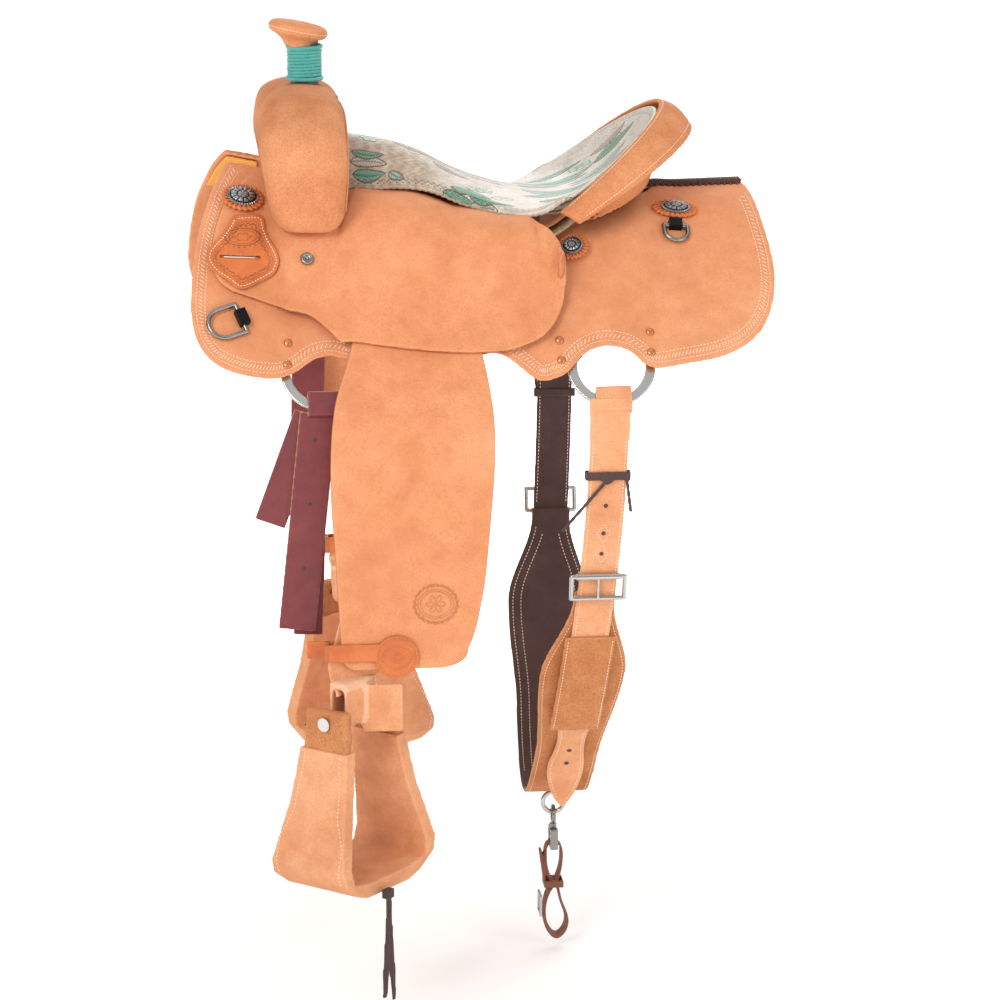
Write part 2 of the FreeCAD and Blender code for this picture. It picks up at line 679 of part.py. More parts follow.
cap_outer = cylinder("CapOuter", 1, 1, cap_base - cap_axis * 5, cap_axis,
                     {"Radius": "Dims.horn_cap_r+4", "Height": "Dims.horn_cap_thick+11"},
                     centred=False)
cap_round = doc.addObject("Part::Fillet", "CapRound")
cap_round.Base = cap_outer
doc.recompute()
cap_round.Edges = [(1, 4.0, 4.0), (3, 4.0, 4.0)]     # the two end circles
cap_inner = cylinder("CapInner", 1, 1, cap_base - cap_axis * 1.0, cap_axis,
                     {"Radius": "Dims.horn_cap_r+1", "Height": "Dims.horn_cap_thick+2"},
                     centred=False)
cap_shell = cut("CapShell", cap_round, cap_inner)
cap_neck_hole = cylinder("CapHole3", NECK_R + 8.5, 20, (HORN_X, 0, cap_base.z - 7), Z_AXIS)
keep(cut("CapShell2", cap_shell, cap_neck_hole), "horn_cap_cover")

CORD_R = dim("cord_r")
cords = []
for k in range(9):
    cord_z = HORN_BASE_Z + 22.0 + k * 2 * CORD_R * 0.96
    cords.append(torus("Cord%d" % k, NECK_R + 0.4 + CORD_R, CORD_R,
                       Placement(Vector(HORN_X, 0, cord_z), Rotation())))
keep(fuse("HornWrap", cords), "horn_wrap")

# ---------------------------------------------------------------- rigging rings (flat rings)
RING_R = dim("ring_radius")
RING_BAND = dim("ring_band")
RING_THICK = dim("ring_thick")
RING_OFFSET = -2.0 - RING_THICK / 2


def ring_body():
    """Flat ring about its local z, with its four circular edges rounded."""
    body = doc.addObject("PartDesign::Body", "RingBody")
    sketch = body.newObject("Sketcher::SketchObject", "RingSection")
    plane = [o for o in body.Origin.OriginFeatures if getattr(o, "Role", "") == "XZ_Plane"][0]
    sketch.AttachmentSupport = [(plane, "")]
    sketch.MapMode = "FlatFace"
    inner, outer, half = RING_R - RING_BAND / 2, RING_R + RING_BAND / 2, RING_THICK / 2
    corners = [Vector(inner, -half, 0), Vector(outer, -half, 0),
               Vector(outer, half, 0), Vector(inner, half, 0)]
    sketch.addGeometry([Part.LineSegment(corners[i], corners[(i + 1) % 4]) for i in range(4)],
                       False)
    for i in range(4):
        sketch.addConstraint(Sketcher.Constraint("Coincident", i, 2, (i + 1) % 4, 1))
    for i, kind in enumerate(("Horizontal", "Vertical", "Horizontal", "Vertical")):
        sketch.addConstraint(Sketcher.Constraint(kind, i))
    sizes = [
        (("DistanceX", 0, 1, 0, 2, RING_BAND), "Dims.ring_band"),
        (("DistanceY", 1, 1, 1, 2, RING_THICK), "Dims.ring_thick"),
        (("DistanceX", -1, 1, 0, 1, inner), "Dims.ring_radius-Dims.ring_band/2"),
        (("DistanceY", 0, 1, -1, 1, half), "Dims.ring_thick/2"),
    ]
    indexes = [sketch.addConstraint(Sketcher.Constraint(*terms)) for terms, _ in sizes]
    for index, (_, expression) in zip(indexes, sizes):
        sketch.setExpression("Constraints[%d]" % index, expression)
    revolution = body.newObject("PartDesign::Revolution", "RingRevolve")
    revolution.Profile = sketch
    revolution.ReferenceAxis = (sketch, ["V_Axis"])
    revolution.Angle = 360.0
    doc.recompute()
    fillet = body.newObject("PartDesign::Fillet", "RingRound")
    fillet.Base = (revolution, ["Edge%d" % number
                                for number, edge in enumerate(revolution.Shape.Edges, start=1)
                                if edge.Curve.TypeId == "Part::GeomCircle"])
    fillet.Radius = 1.8
    body.Tip = fillet
    doc.recompute()
    # A failed rounding is taken out again, leaving the ring with sharp edges.
    if fillet.Shape.isNull() or not fillet.Shape.isValid():
        body.removeObject(fillet)
        doc.removeObject(fillet.Name)
        body.Tip = revolution
    return body


def ring_plane(x):
    """Plane of a ring between skirt and fleece, fitted to the flank at the ring's upper half."""
    front, rear, top, low = [on_flank(at_x, at_z, RING_OFFSET).Base for at_x, at_z in (
        (x - 40, -135), (x + 40, -135), (x, -117), (x, -150))]
    normal = (rear - front).cross(top - low)
    normal.normalize()
    rotation = facing(normal)
    along = rotation.multVec(X_AXIS)
    up = rotation.multVec(Y_AXIS)
    centre = (front + rear + top + low) * 0.25
    centre = centre + up * ((dim("ring_z") - centre.z) / up.z)
    centre = centre + along * ((x - centre.x) / along.x)
    return Placement(centre, rotation)


ring = ring_body()
FRONT_RING = ring_plane(dim("front_ring_x"))
REAR_RING = ring_plane(dim("rear_ring_x"))
rings = []
for name, plane in (("FrontRing", FRONT_RING), ("RearRing", REAR_RING)):
    placed = doc.addObject("Part::Feature", name)
    placed.Shape = ring.Shape.copy()
    placed.Placement = plane
    rings += pair(placed, name + "R")
keep(compound("RiggingRings", rings), "rigging_rings")

# ---------------------------------------------------------------- fenders
# The upper part lies in the flat plane of the flank, the lower part bends down to the vertical.
OUTWARD = Vector(0, -FLAT_Y, CROWN_RADIUS)
OUTWARD.normalize()
UP_FLANK = Vector(0, CROWN_RADIUS, FLAT_Y)
UP_FLANK.normalize()
FLAT_RUN = CROWN_RADIUS / FLAT_Y     # y gained per unit of drop
FENDER_THICK = dim("fender_thick")
FENDER_LIFT = dim("fender_lift")
FENDER_OUTER = FENDER_LIFT + FENDER_THICK
BEND_Z = -205
BEND_LENGTH = 34.0


def flat_y(z):
    """Distance y of the flat part of the flank at height z."""
    return FLAT_Y + FLAT_RUN * (FLAT_Z - z)


def fender_y(z):
    """Distance y of the surface that the lower fender is offset from."""
    if z > BEND_Z:
        return flat_y(z)
    return flat_y(BEND_Z) + FLAT_RUN * BEND_LENGTH * (1 - math.exp((z - BEND_Z) / BEND_LENGTH))


def fender_point(x, z, offset):
    step = 0.5
    slope = (fender_y(z + step) - fender_y(z - step)) / (2 * step)
    normal = Vector(0, -1.0, -slope)
    normal.normalize()
    return Vector(x, -fender_y(z), z) + normal * offset


def fender_layer(name, z0, z1, low, high, rows, x_limits):
    """Hanging layer from z0 down to z1, between the two x values of x_limits(z)."""
    def pair_at(i, j):
        z = spread(z0, z1, i, rows)
        x = spread(*x_limits(z), j, 6)
        return fender_point(x, z, low), fender_point(x, z, high)
    return layer_solid(name, rows, 6, pair_at)


# upper fender in side view: (x, z), laid into the plane from the swing centre
FENDER_UPPER = [(-128, -58), (-42, -58), (-26, -75), (-14, -105), (-5, -135), (3, -160),
                (6.6, -181.0), (-179.5, -181.0), (-175, -165), (-163, -135), (-150, -105),
                (-140, -75)]
SWING_X = dim("swing_x")
SWING_Z = dim("swing_z")
swing = Vector(SWING_X, -flat_y(SWING_Z), SWING_Z) + OUTWARD * (FENDER_LIFT + FENDER_THICK / 2)
sketch = outline("FenderTopOutline",
                 [(x - SWING_X, (z - SWING_Z) / UP_FLANK.z) for x, z in FENDER_UPPER], poly=True,
                 placement=Placement(swing - OUTWARD * (FENDER_THICK / 2), facing(OUTWARD)))
fender_top = extrude("FenderTop", sketch, FENDER_THICK, bind="Dims.fender_thick")
layer = fender_layer("FenderLayer", -187.0, -530, FENDER_LIFT, FENDER_OUTER, 26,
                     lambda z: (-200, 20))
fender = trimmed("Fender", "FenderLow", layer, FENDER, 360.0)

# ---------------------------------------------------------------- stirrup leather and hobble
LEATHER_W = dim("leather_w")
NECK = Vector(dim("neck_x"), dim("neck_y"), dim("bolt_z"))
TURN = Placement(NECK, about_z(dim("stirrup_turn")))     # stirrup pieces: bolt along local x


def leather_limits(z):
    """Front and rear x of the stirrup leather, which slants forward on its way down."""
    part = max(0.0, min(1.0, (-190 - z) / 330.0))
    centre = -95 + (NECK.x + 95) * part ** 1.3
    return centre - LEATHER_W / 2.0, centre + LEATHER_W / 2.0


leather = fender_layer("LeatherStrap", -191.0, -524.0, FENDER_LIFT - 6.5, FENDER_LIFT - 1.5, 20,
                       leather_limits)


def hobble_strap():
    """Band round the leathers at the fender's lower end, with a disc on the fender's face."""
    face_y = -(fender_y(-500) + FENDER_OUTER + 1.3)
    back_y = -(fender_y(-500) + FENDER_LIFT - 8.0) + 4.0
    thick, tall, z = 3.5, 22, -499
    outer_y = face_y - thick / 2
    return fuse("Hobble", [
        box("HobbleBand", 66, thick, tall, (-146, outer_y, z)),
        cylinder("HobbleDisc", 27, thick, (-111, outer_y, -505), Y_AXIS),
        box("HobbleEdge", thick, abs(back_y - face_y) + 5.25, tall,
            (-195.5, (face_y + back_y) / 2, z)),
        box("HobbleFace", 32, thick, tall, (-183, outer_y, z)),
        box("HobbleBack", 40, thick, tall, (-200, back_y, z)),
    ])


def leather_loop():
    """Loop that hangs from the leather and runs round the stirrup bolt."""
    radius = dim("loop_r")
    outer = fuse("LoopOuter", [
        box("LoopBlock", LEATHER_W, 2 * radius + 10, 46, (0, 0, 23)),
        cylinder("LoopRound", radius + 5, LEATHER_W, (0, 0, 0), X_AXIS)])
    inner = fuse("LoopInner", [
        box("LoopSlot", LEATHER_W + 10, 2 * radius, 36, (0, 0, 18)),
        cylinder("LoopBore", radius, LEATHER_W + 10, (0, 0, 0), X_AXIS)])
    # The strap's free end lies square to the fender, so it is turned back in the loop's axes.
    tail = box("LeatherTail", 52, 4.5, 62, (18.5, -31.4, 8), about_z(-dim("stirrup_turn")))
    return fuse("LeatherLoop", [cut("LoopBody", outer, inner), tail])


hobble = hobble_strap()
loop = leather_loop()

# ---------------------------------------------------------------- stirrup frame, cover, bolt
TOP_HALF = dim("stirrup_top_half")
LOW_HALF = dim("stirrup_low_half")
TALL = dim("stirrup_tall")
TREAD_HALF = dim("tread_depth") / 2
BRANCH_THICK = dim("branch_thick")
COVER_THICK = dim("cover_thick")
COVER_GAP = 1.3


def bell(name, inward, outward):
    """Front view of the stirrup: a bell-shaped band, local x and z."""
    def side(grow):
        return [(TOP_HALF + grow, 14), (TOP_HALF + 2 + grow, -20), (TOP_HALF + 8 + grow, -60),
                (TOP_HALF + 17 + grow, -100), (TOP_HALF + 29 + grow, -140),
                (LOW_HALF + grow, -172), (LOW_HALF - 4 + grow * 0.8, -190),
                (LOW_HALF - 20 + grow * 0.3, -TALL + 8 - grow * 0.75),
                (LOW_HALF - 40, -TALL + 3 - grow)]
    outer = side(outward)
    inner = side(-inward)
    points = [(-x, z) for x, z in outer] + [(x, z) for x, z in reversed(outer)]
    points += [(x, z) for x, z in inner] + [(-x, z) for x, z in reversed(inner)]
    return outline(name, points, poly=True)


def side_profile(name, grow):
    """Side view of the stirrup, local y and z."""
    branch = dim("branch_depth") / 2 + grow
    tread = TREAD_HALF + grow
    half = [(branch - 4, 20 + grow), (branch, -40), (branch + 6, -100), (tread - 6, -150),
            (tread, -TALL + 20), (tread - 4, -TALL - 14)]
    points = [(-half[0][0], half[0][1])] + half + [(-y, z) for y, z in reversed(half[1:])]
    return outline(name, points, plane="YZ", poly=True)


def stirrup_solid(name, inward, outward, grow):
    front = extrude(name + "Front", bell(name + "Bell", inward, outward), 90.0, 90.0)
    side = extrude(name + "Side", side_profile(name + "Profile", grow), 150.0, 150.0)
    return common(name, front, side)


frame_wood = stirrup_solid("StirrupWood", 0.0, BRANCH_THICK, 0.0)
bolt_hole = cylinder("BoltHole", dim("bolt_r") + 0.3, 140, (0, 0, 0), X_AXIS)
frame = cut("StirrupFrame", frame_wood, bolt_hole)

cover_grow = COVER_GAP + COVER_THICK
cover_outer = stirrup_solid("StirrupCoverOuter", cover_grow, BRANCH_THICK + cover_grow,
                            cover_grow)
cover_inner = stirrup_solid("StirrupCoverInner", COVER_GAP, BRANCH_THICK + COVER_GAP, COVER_GAP)
cover_limit = box("CoverLimit", 260, 200, 260, (0, 0, -162))
cover = common("StirrupCover", cut("StirrupCoverShell", cover_outer, cover_inner), cover_limit)

branch_outer = TOP_HALF + BRANCH_THICK
bolt = fuse("StirrupBolt", [
    cylinder("BoltShank", dim("bolt_r"), 2 * branch_outer + 8, (0, 0, 0), X_AXIS,
             {"Radius": "Dims.bolt_r"}),
    cylinder("BoltHead", 8.5, 5, (-branch_outer - 4.8, 0, 0), X_AXIS),
    cylinder("BoltNut", 8.0, 6, (branch_outer + 5.4, 0, 0), X_AXIS)])
lace_y = -TREAD_HALF - 14
lace = fuse("StirrupLace", [
    box("LaceKnot", 14, 10, 12, (-20, lace_y, -TALL - 8)),
    box("LaceTailA", 5, 2.5, 132, (-24, lace_y, -TALL - 14 - 62), about_y(3)),
    box("LaceTailB", 5, 2.5, 140, (-13, lace_y, -TALL - 14 - 66), about_y(-3))])
for piece in (loop, frame, cover, bolt, lace):
    piece.Placement = TURN

# Far side: mirrored and swung in the plane of the flank about the swing centre.
far_swing = Placement(
    Vector(0, 0, 0),
    Rotation(Vector(0, -OUTWARD.y, OUTWARD.z), -dim("far_swing")),
    Vector(swing.x, -swing.y, swing.z))
for piece, label in ((fender_top, "fender_top"), (fender, "fender"),
                     (leather, "stirrup_leather"), (hobble, "hobble_strap"),
                     (loop, "stirrup_leather_loop"), (frame, "stirrup_frame"),
                     (cover, "stirrup_cover"), (bolt, "stirrup_bolt"), (lace, "stirrup_lace")):
    keep(piece, label + "_left")
    far_piece = mirror(piece.Name + "R", piece)
    far_piece.Placement = far_swing
    keep(far_piece, label + "_right")


# ---------------------------------------------------------------- latigo (near), off billet (far)
def ring_wrap(name, plane, width):
    """Short leather loop round the lowest part of a ring, in the ring's own plane."""
    middle = plane.multVec(Vector(0, -(RING_R - 3), 0))
    outer = box(name + "Out", width, 32, 17, middle, plane.Rotation)
    inner = box(name + "In", width + 10, 24, 10, middle, plane.Rotation)
    return cut(name, outer, inner)


def hanging_strap(name, width, thick, top, bottom, y):
    """Straight strap between two (x, z) points, its face square to y."""
    run, rise = bottom[0] - top[0], bottom[1] - top[1]
    angle = math.degrees(math.atan2(run, -rise))
    centre = ((top[0] + bottom[0]) / 2.0, y, (top[1] + bottom[1]) / 2.0)
    return box(name, width, thick, math.hypot(run, rise), centre, about_y(-angle))


LATIGO_W = dim("latigo_w")
FRONT_RING_X = dim("front_ring_x")
ring_foot = FRONT_RING.multVec(Vector(0, -(RING_R + 12), 0))
strap_y = ring_foot.y + 2.0
keep(fuse("Latigo", [
    ring_wrap("LatigoWrap", FRONT_RING, LATIGO_W),
    hanging_strap("LatigoFront", LATIGO_W, dim("latigo_thick"),
                  (-201, ring_foot.z + 4), (-231, -478), strap_y),
    hanging_strap("LatigoFold", 38, 7.0, (-212, ring_foot.z + 2), (-262, -345), strap_y + 7.5),
    hanging_strap("LatigoUnder", 36, 3.5, (-206, ring_foot.z + 2), (-217, -488),
                  strap_y + 12.2)]), "latigo_left")

# The off billet is built on the near side with its row of holes, then mirrored.
off_strap = hanging_strap("OffBilletStrap", LATIGO_W, 6.5, (FRONT_RING_X, ring_foot.z + 4),
                          (FRONT_RING_X - 6, -478), strap_y)
off_near = fuse("OffBilletNear", [ring_wrap("OffWrap", FRONT_RING, LATIGO_W), off_strap])
holes = [cylinder("OffHole%d" % k, 3.2, 30, (FRONT_RING_X - 1.5 - k, strap_y, -300 - 38 * k),
                  Y_AXIS) for k in range(5)]
off_cut = cut("OffBilletCut", off_near, fuse("OffHoles", holes))
keep(mirror("OffBillet", off_cut), "off_billet_right")

# ---------------------------------------------------------------- flank loop under the belly
# near half of the loop: (z, distance y from the centre plane)
FLANK_LOOP = [(-205, 258), (-225, 264), (-260, 262), (-330, 254), (-400, 242), (-480, 222),
              (-560, 192), (-640, 150), (-700, 108), (-745, 66), (-770, 26), (-775, 0)]
LOOP_STEPS = 200

loop_curve = Part.BSplineCurve()
loop_curve.interpolate([Vector(0, -y, z) for z, y in FLANK_LOOP]
                       + [Vector(0, y, z) for z, y in reversed(FLANK_LOOP[:-1])])
loop_points = [loop_curve.value(spread(loop_curve.FirstParameter, loop_curve.LastParameter,
                                       i, LOOP_STEPS + 1)) for i in range(LOOP_STEPS + 1)]
loop_arcs = [0.0]      # arc length from the near end at each point
for i in range(LOOP_STEPS):
    loop_arcs.append(loop_arcs[-1] + (loop_points[i + 1] - loop_points[i]).Length)
LOOP_LENGTH = loop_arcs[-1]


def loop_at(arc):
    """Point and outward normal of the flank loop at an arc length from its near end."""
    arc = max(0.0, min(LOOP_LENGTH, arc))
    i = next(k for k in range(LOOP_STEPS) if loop_arcs[k + 1] >= arc)
    part = (arc - loop_arcs[i]) / (loop_arcs[i + 1] - loop_arcs[i])
    point = loop_points[i] + (loop_points[i + 1] - loop_points[i]) * part
    tangent = loop_points[min(LOOP_STEPS, i + 2)] - loop_points[max(0, i - 1)]
    tangent.normalize()
    return point, Vector(0, tangent.z, -tangent.y)


def loop_x(arc):
    """x of the loop's middle line, which lies furthest forward near the belly."""
    part = arc / LOOP_LENGTH
    return 153.0 - 34.0 * math.sin(math.pi * min(1, part)) ** 2 - 8.0 * part


def loop_sheet(name, start, end, width_at, low, high, rows, columns):
    """Band along the loop between two arc lengths; low and high are outward offsets."""
    def pair_at(i, j):
        arc = spread(start, end, i, rows)
        point, normal = loop_at(arc)
        x = loop_x(arc) + width_at(arc) / 2.0 * spread(-1.0, 1.0, j, columns)
        base = Vector(x, point.y, point.z)
        return base + normal * low, base + normal * high
    return layer_solid(name, rows, columns, pair_at)


def arc_of(z):
    """Arc length of the loop point nearest to height z on the near half."""
    return loop_arcs[min(range(LOOP_STEPS // 2), key=lambda i: abs(loop_points[i].z - z))]


def loop_frame(arc, offset):
    """Placement on the loop: local x across the band, local z outward."""
    point, normal = loop_at(arc)
    return Placement(Vector(loop_x(arc), point.y, point.z) + normal * offset, facing(normal))


# ---------------------------------------------------------------- cinch and billets
BILLET_W = dim("billet_w")
BILLET_THICK = dim("billet_thick")
BILLET_OUTER = GAP + BILLET_THICK
CINCH_W = dim("cinch_w")
CINCH_END_W = 52
cinch_start = arc_of(-462)
cinch_end = LOOP_LENGTH - cinch_start


def cinch_width(arc):
    """Narrow at the ends, widest 110 from them and narrower again under the belly."""
    from_end = min(arc - cinch_start, cinch_end - arc)
    if from_end / 110.0 < 1:
        return CINCH_END_W + (CINCH_W - CINCH_END_W) * smooth(0, 1, from_end / 110.0)
    return CINCH_W - 26 * smooth(0.0, 1.0, (from_end - 110) / 150.0)


keep(loop_sheet("FlankCinch", cinch_start - 14, cinch_end + 14, cinch_width,
                -dim("cinch_thick"), 0.0, 44, 5), "flank_cinch")

billet_top = arc_of(-210.5)
billet_tip = arc_of(-774.5) - 4


def near_billet_width(arc):
    """Full width, tapering to half over the last 40."""
    return BILLET_W * (1 - 0.5 * smooth(0, 1, (arc - (billet_tip - 40)) / 40.0))


near_strap = loop_sheet("BilletNear", billet_top, billet_tip, near_billet_width,
                        GAP, BILLET_OUTER, 40, 4)
near_billet = fuse("BilletNearFull", [near_strap, ring_wrap("BilletWrap", REAR_RING, 44)])
far_strap = loop_sheet("BilletFar", LOOP_LENGTH - billet_top, LOOP_LENGTH - arc_of(-660),
                       lambda arc: BILLET_W, GAP, BILLET_OUTER, 30, 4)
far_wrap = mirror("BilletWrapFar", ring_wrap("BilletWrapF", REAR_RING, 44))
far_billet = fuse("BilletFarFull", [far_strap, far_wrap])
keep(compound("FlankBillets", [near_billet, far_billet]), "flank_billets")


# ---------------------------------------------------------------- flank buckles, keepers and ties
def wire_rectangle(name, centre, across, rise, width, height, wire):
    """Four round bars with ball corners; across and rise are the unit directions of its sides."""
    half_w = across * (width / 2)
    half_h = rise * (height / 2)
    bars = ((half_h, width, across), (half_h * -1, width, across),
            (half_w, height, rise), (half_w * -1, height, rise))
    corners = (half_w + half_h, half_w - half_h, half_h - half_w, (half_w + half_h) * -1)
    return ([cylinder(name + "Bar%d" % k, wire, length, centre + middle, direction)
             for k, (middle, length, direction) in enumerate(bars)]
            + [sphere(name + "Corner%d" % k, wire, centre + corner)
               for k, corner in enumerate(corners)])


def flank_buckle(name, arc):
    """Rectangular roller buckle lying flat on the billet."""
    width, height, wire = dim("buckle_w"), 30, dim("buckle_wire")
    parts = wire_rectangle(name, Vector(0, 0, 0), X_AXIS, Y_AXIS, width, height, wire)
    parts.append(cylinder(name + "Roller", wire + 1.2, width - 12, (0, height / 2, 0), X_AXIS))
    parts.append(cylinder(name + "Tongue", 1.9, height + 2, (0, 0, 1.2), Y_AXIS))
    result = fuse(name, parts)
    result.Placement = loop_frame(arc, BILLET_OUTER + 1.3 + wire + 1.2)
    return result


def flank_keeper(name, start, end):
    return loop_sheet(name, start, end, lambda arc: 64.0,
                      BILLET_OUTER + 1.3, BILLET_OUTER + 4.3, 14, 4)


def billet_tie(name, arc, sign):
    """Thong round the billet with two loose tails and a round piece on its face."""
    outer = box(name + "Out", BILLET_W + 8, 11, BILLET_THICK + 6.6, (0, 0, 0))
    inner = box(name + "In", BILLET_W + 2.6, 20, BILLET_THICK + 2.6, (0, 0, 0))
    face = BILLET_THICK / 2
    result = fuse(name, [
        cut(name + "Band", outer, inner),
        box(name + "TailA", 4.5, 80, 2.0, (sign * 30, -40, face + 2.6), about_z(sign * 40)),
        box(name + "TailB", 4.5, 46, 2.0, (-sign * 26, -24, face + 2.6), about_z(-sign * 8)),
        cylinder(name + "Heart", 8.0, 2.6, (0, -2, face + 3.2), Z_AXIS)])
    result.Placement = loop_frame(arc, GAP + BILLET_THICK / 2)
    return result


buckle_arc = arc_of(-435)
keeper_start = arc_of(-505)
keeper_end = arc_of(-640)
tie_arc = arc_of(-292)
keep(compound("FlankBuckles", [
    flank_buckle("BuckleNear", buckle_arc),
    flank_buckle("BuckleFar", LOOP_LENGTH - buckle_arc)]), "flank_buckles")
keep(compound("FlankKeepers", [
    flank_keeper("KeeperNear", keeper_start, keeper_end),
    flank_keeper("KeeperFar", LOOP_LENGTH - keeper_start, LOOP_LENGTH - keeper_end)]),
    "flank_keepers")
keep(compound("BilletTies", [
    billet_tie("TieNear", tie_arc, -1),
    billet_tie("TieFar", LOOP_LENGTH - tie_arc, 1)]), "flank_billet_ties")

# ---------------------------------------------------------------- cinch dee, snap and swivel
belly_x = loop_x(LOOP_LENGTH / 2)
dee_z = FLANK_LOOP[-1][0] - 18.0
HOOK_R = 10.5
hook_z = dee_z - 17
swivel_z = hook_z - HOOK_R - 19
keep(torus("CinchDeeRing", 14, 3.0, Placement(Vector(belly_x, 0, dee_z), Rotation(X_AXIS, 90))),
     "cinch_dee")
# The snap's ring passes through the dee in the other plane, above its swivel post and ball.
keep(fuse("CinchSnap", [
    torus("SnapHook", HOOK_R, 2.6, Placement(Vector(belly_x, 0, hook_z), about_y(90))),
    cylinder("SnapPost", 4.5, 16, (belly_x, 0, hook_z - HOOK_R - 10), Z_AXIS),
    sphere("SnapHead", 6.5, (belly_x, 0, swivel_z))]), "cinch_snap")
eye_block = cut("EyeA", box("EyeOut", 10, 30, 27, (belly_x, 0, swivel_z - 2.5)),
                box("EyeIn", 20, 22, 19.5, (belly_x, 0, swivel_z - 2.0)))
eye_slot = cylinder("EyeSlot", 5.6, 14, (belly_x, 0, swivel_z + 11), Z_AXIS)
keep(cut("SwivelEye", eye_block, eye_slot), "snap_swivel_eye")

# ---------------------------------------------------------------- connector strap
connector_z = swivel_z - 9
# loops of the strap in side view: (x from the belly line, z from connector_z)
UPPER_OUTER = [(0, 1), (-9, -2), (-12.5, -14), (-12, -28), (-7, -50), (0, -62), (7, -50),
               (12, -28), (12.5, -14), (9, -2)]
UPPER_INNER = [(0, -1.2), (-6.8, -2.6), (-9, -14), (-8.5, -28), (-4, -46), (0, -54), (4, -46),
               (8.5, -28), (9, -14), (6.8, -2.6)]
LOWER_OUTER = [(0, -52), (-11, -74), (-14, -100), (-8, -124), (4, -134), (17, -124),
               (20, -104), (11, -78)]
LOWER_INNER = [(0, -62), (-7, -76), (-10, -100), (-5, -119), (4, -128.5), (13, -120),
               (15.5, -104), (8, -80)]


def strap_loop(name, outer, inner):
    outer, inner = [[(x, connector_z + z) for x, z in points] for points in (outer, inner)]
    pad = extrude(name + "Pad", outline(name, outer), 9.0, 9.0)
    hole = extrude(name + "Hole", outline(name + "In", inner), 12.0, 12.0)
    return cut(name + "Loop", pad, hole)


strap = fuse("ConnectorStrapLocal", [
    strap_loop("ConnUpper", UPPER_OUTER, UPPER_INNER),
    strap_loop("ConnLower", LOWER_OUTER, LOWER_INNER),
    box("ConnTail", 3.5, 18, 48, (-14, 0, connector_z - 34), about_y(-8))])
strap.Placement = Placement(Vector(belly_x, 0, 0), Rotation())
keeper_centre = (belly_x, 0, connector_z - 56)
connector_keeper = cut("ConnectorKeeper", box("ConnKeeperOut", 26, 30, 9, keeper_centre),
                       box("ConnKeeperIn", 22.5, 20.6, 20, keeper_centre))
keep(compound("ConnectorStrap", [strap, connector_keeper]), "connector_strap")
keep(fuse("ConnectorBuckle", wire_rectangle(
    "ConnBuckle", Vector(belly_x - 17.5, 0, connector_z - 86), Y_AXIS, Z_AXIS, 26, 26, 1.9)),
    "connector_buckle")


# ---------------------------------------------------------------- rosettes and conchos
def ellipse_pad(name, half_x, half_y, thick, ripple=0.0):
    """Elliptical pad; a ripple makes its border a polygon with 24 scallops."""
    count = 48 if ripple else 24
    points = []
    for i in range(count):
        angle = 2 * math.pi * i / count
        scale = 1 + (ripple if i % 2 else -ripple)
        points.append((half_x * scale * math.cos(angle), half_y * scale * math.sin(angle)))
    sketch = outline(name + "Sk", points, plane="XY", poly=bool(ripple))
    return extrude(name, sketch, thick)


# name, x, z, offset, half axes of the rosette, half axes of the concho
CONCHO_SPOTS = [
    ("Front", -289, 37, dim("jockey_front") + JOCKEY_THICK + 3.6, (25, 19.0), (19, 13.5)),
    ("Seat", 122, -26, SKIRT_THICK + 5.5, (18.0, 18.0), (12.5, 12.5)),
    ("Rear", 255, 11, SKIRT_THICK + 3.2, (27.0, 14.5), (18.0, 9.5)),
]
rosettes, conchos = [], []
for name, x, z, offset, rosette_half, (half_x, half_y) in CONCHO_SPOTS:
    spot = on_flank(x, z, offset)
    rosette = ellipse_pad("Rosette" + name, *rosette_half, 3.0, 0.035)
    rosette.Placement = spot
    concho = fuse("Concho" + name, [
        ellipse_pad("Concho" + name + "Base", half_x, half_y, 2.0),
        ellipse_pad("Concho" + name + "Dome", half_x * 0.66, half_y * 0.66, 4.2)])
    concho.Placement = spot.multiply(Placement(Vector(0, 0, 3.4), Rotation()))
    rosettes += pair(rosette, "Rosette" + name + "R")
    conchos += pair(concho, "Concho" + name + "R")
keep(compound("Rosettes", rosettes), "concho_rosettes")
keep(compound("Conchos", conchos), "conchos")

# ---------------------------------------------------------------- rivets and ferrules
# rivets beside the rings: (x, z)
RIVETS = [(-236.4, -128.0), (-238.0, -151.7), (96.3, -130.5), (97.2, -152.3), (208.3, -122.0),
          (207.9, -144.1)]
rivets = []
for k, (x, z) in enumerate(RIVETS):
    rivet = cylinder("Rivet%d" % k, dim("rivet_r"), 1.4, (0, 0, 0), Z_AXIS,
                     {"Radius": "Dims.rivet_r"}, centred=False)
    rivet.Placement = on_flank(x, z, SKIRT_THICK + 0.5)
    rivets += pair(rivet, "RivetR%d" % k)
keep(compound("Rivets", rivets), "rigging_rivets")

FERRULE_X, FERRULE_Z = -210, -31
ferrule_y = foot_y(FERRULE_X, FERRULE_Z, lambda x, y: 25.0)
ferrule = cut(
    "Ferrule",
    cylinder("FerruleOut", dim("ferrule_r"), dim("ferrule_len"), (0, 0, 0), Z_AXIS,
             {"Radius": "Dims.ferrule_r", "Height": "Dims.ferrule_len"}, centred=False),
    cylinder("FerruleIn", dim("ferrule_hole_r"), 20, (0, 0, 0), Z_AXIS,
             {"Radius": "Dims.ferrule_hole_r"}))
ferrule.Placement = on_flank(FERRULE_X, FERRULE_Z,
                             jockey_offset(FERRULE_X, ferrule_y) + JOCKEY_THICK + 1.9)
keep(compound("Ferrules", pair(ferrule, "FerruleR")), "rope_strap_ferrules")


# ---------------------------------------------------------------- latigo keepers
def keeper_offsets(x, y):
    low = jockey_offset(x, y) + JOCKEY_THICK + GAP
    return low, low + 3.5


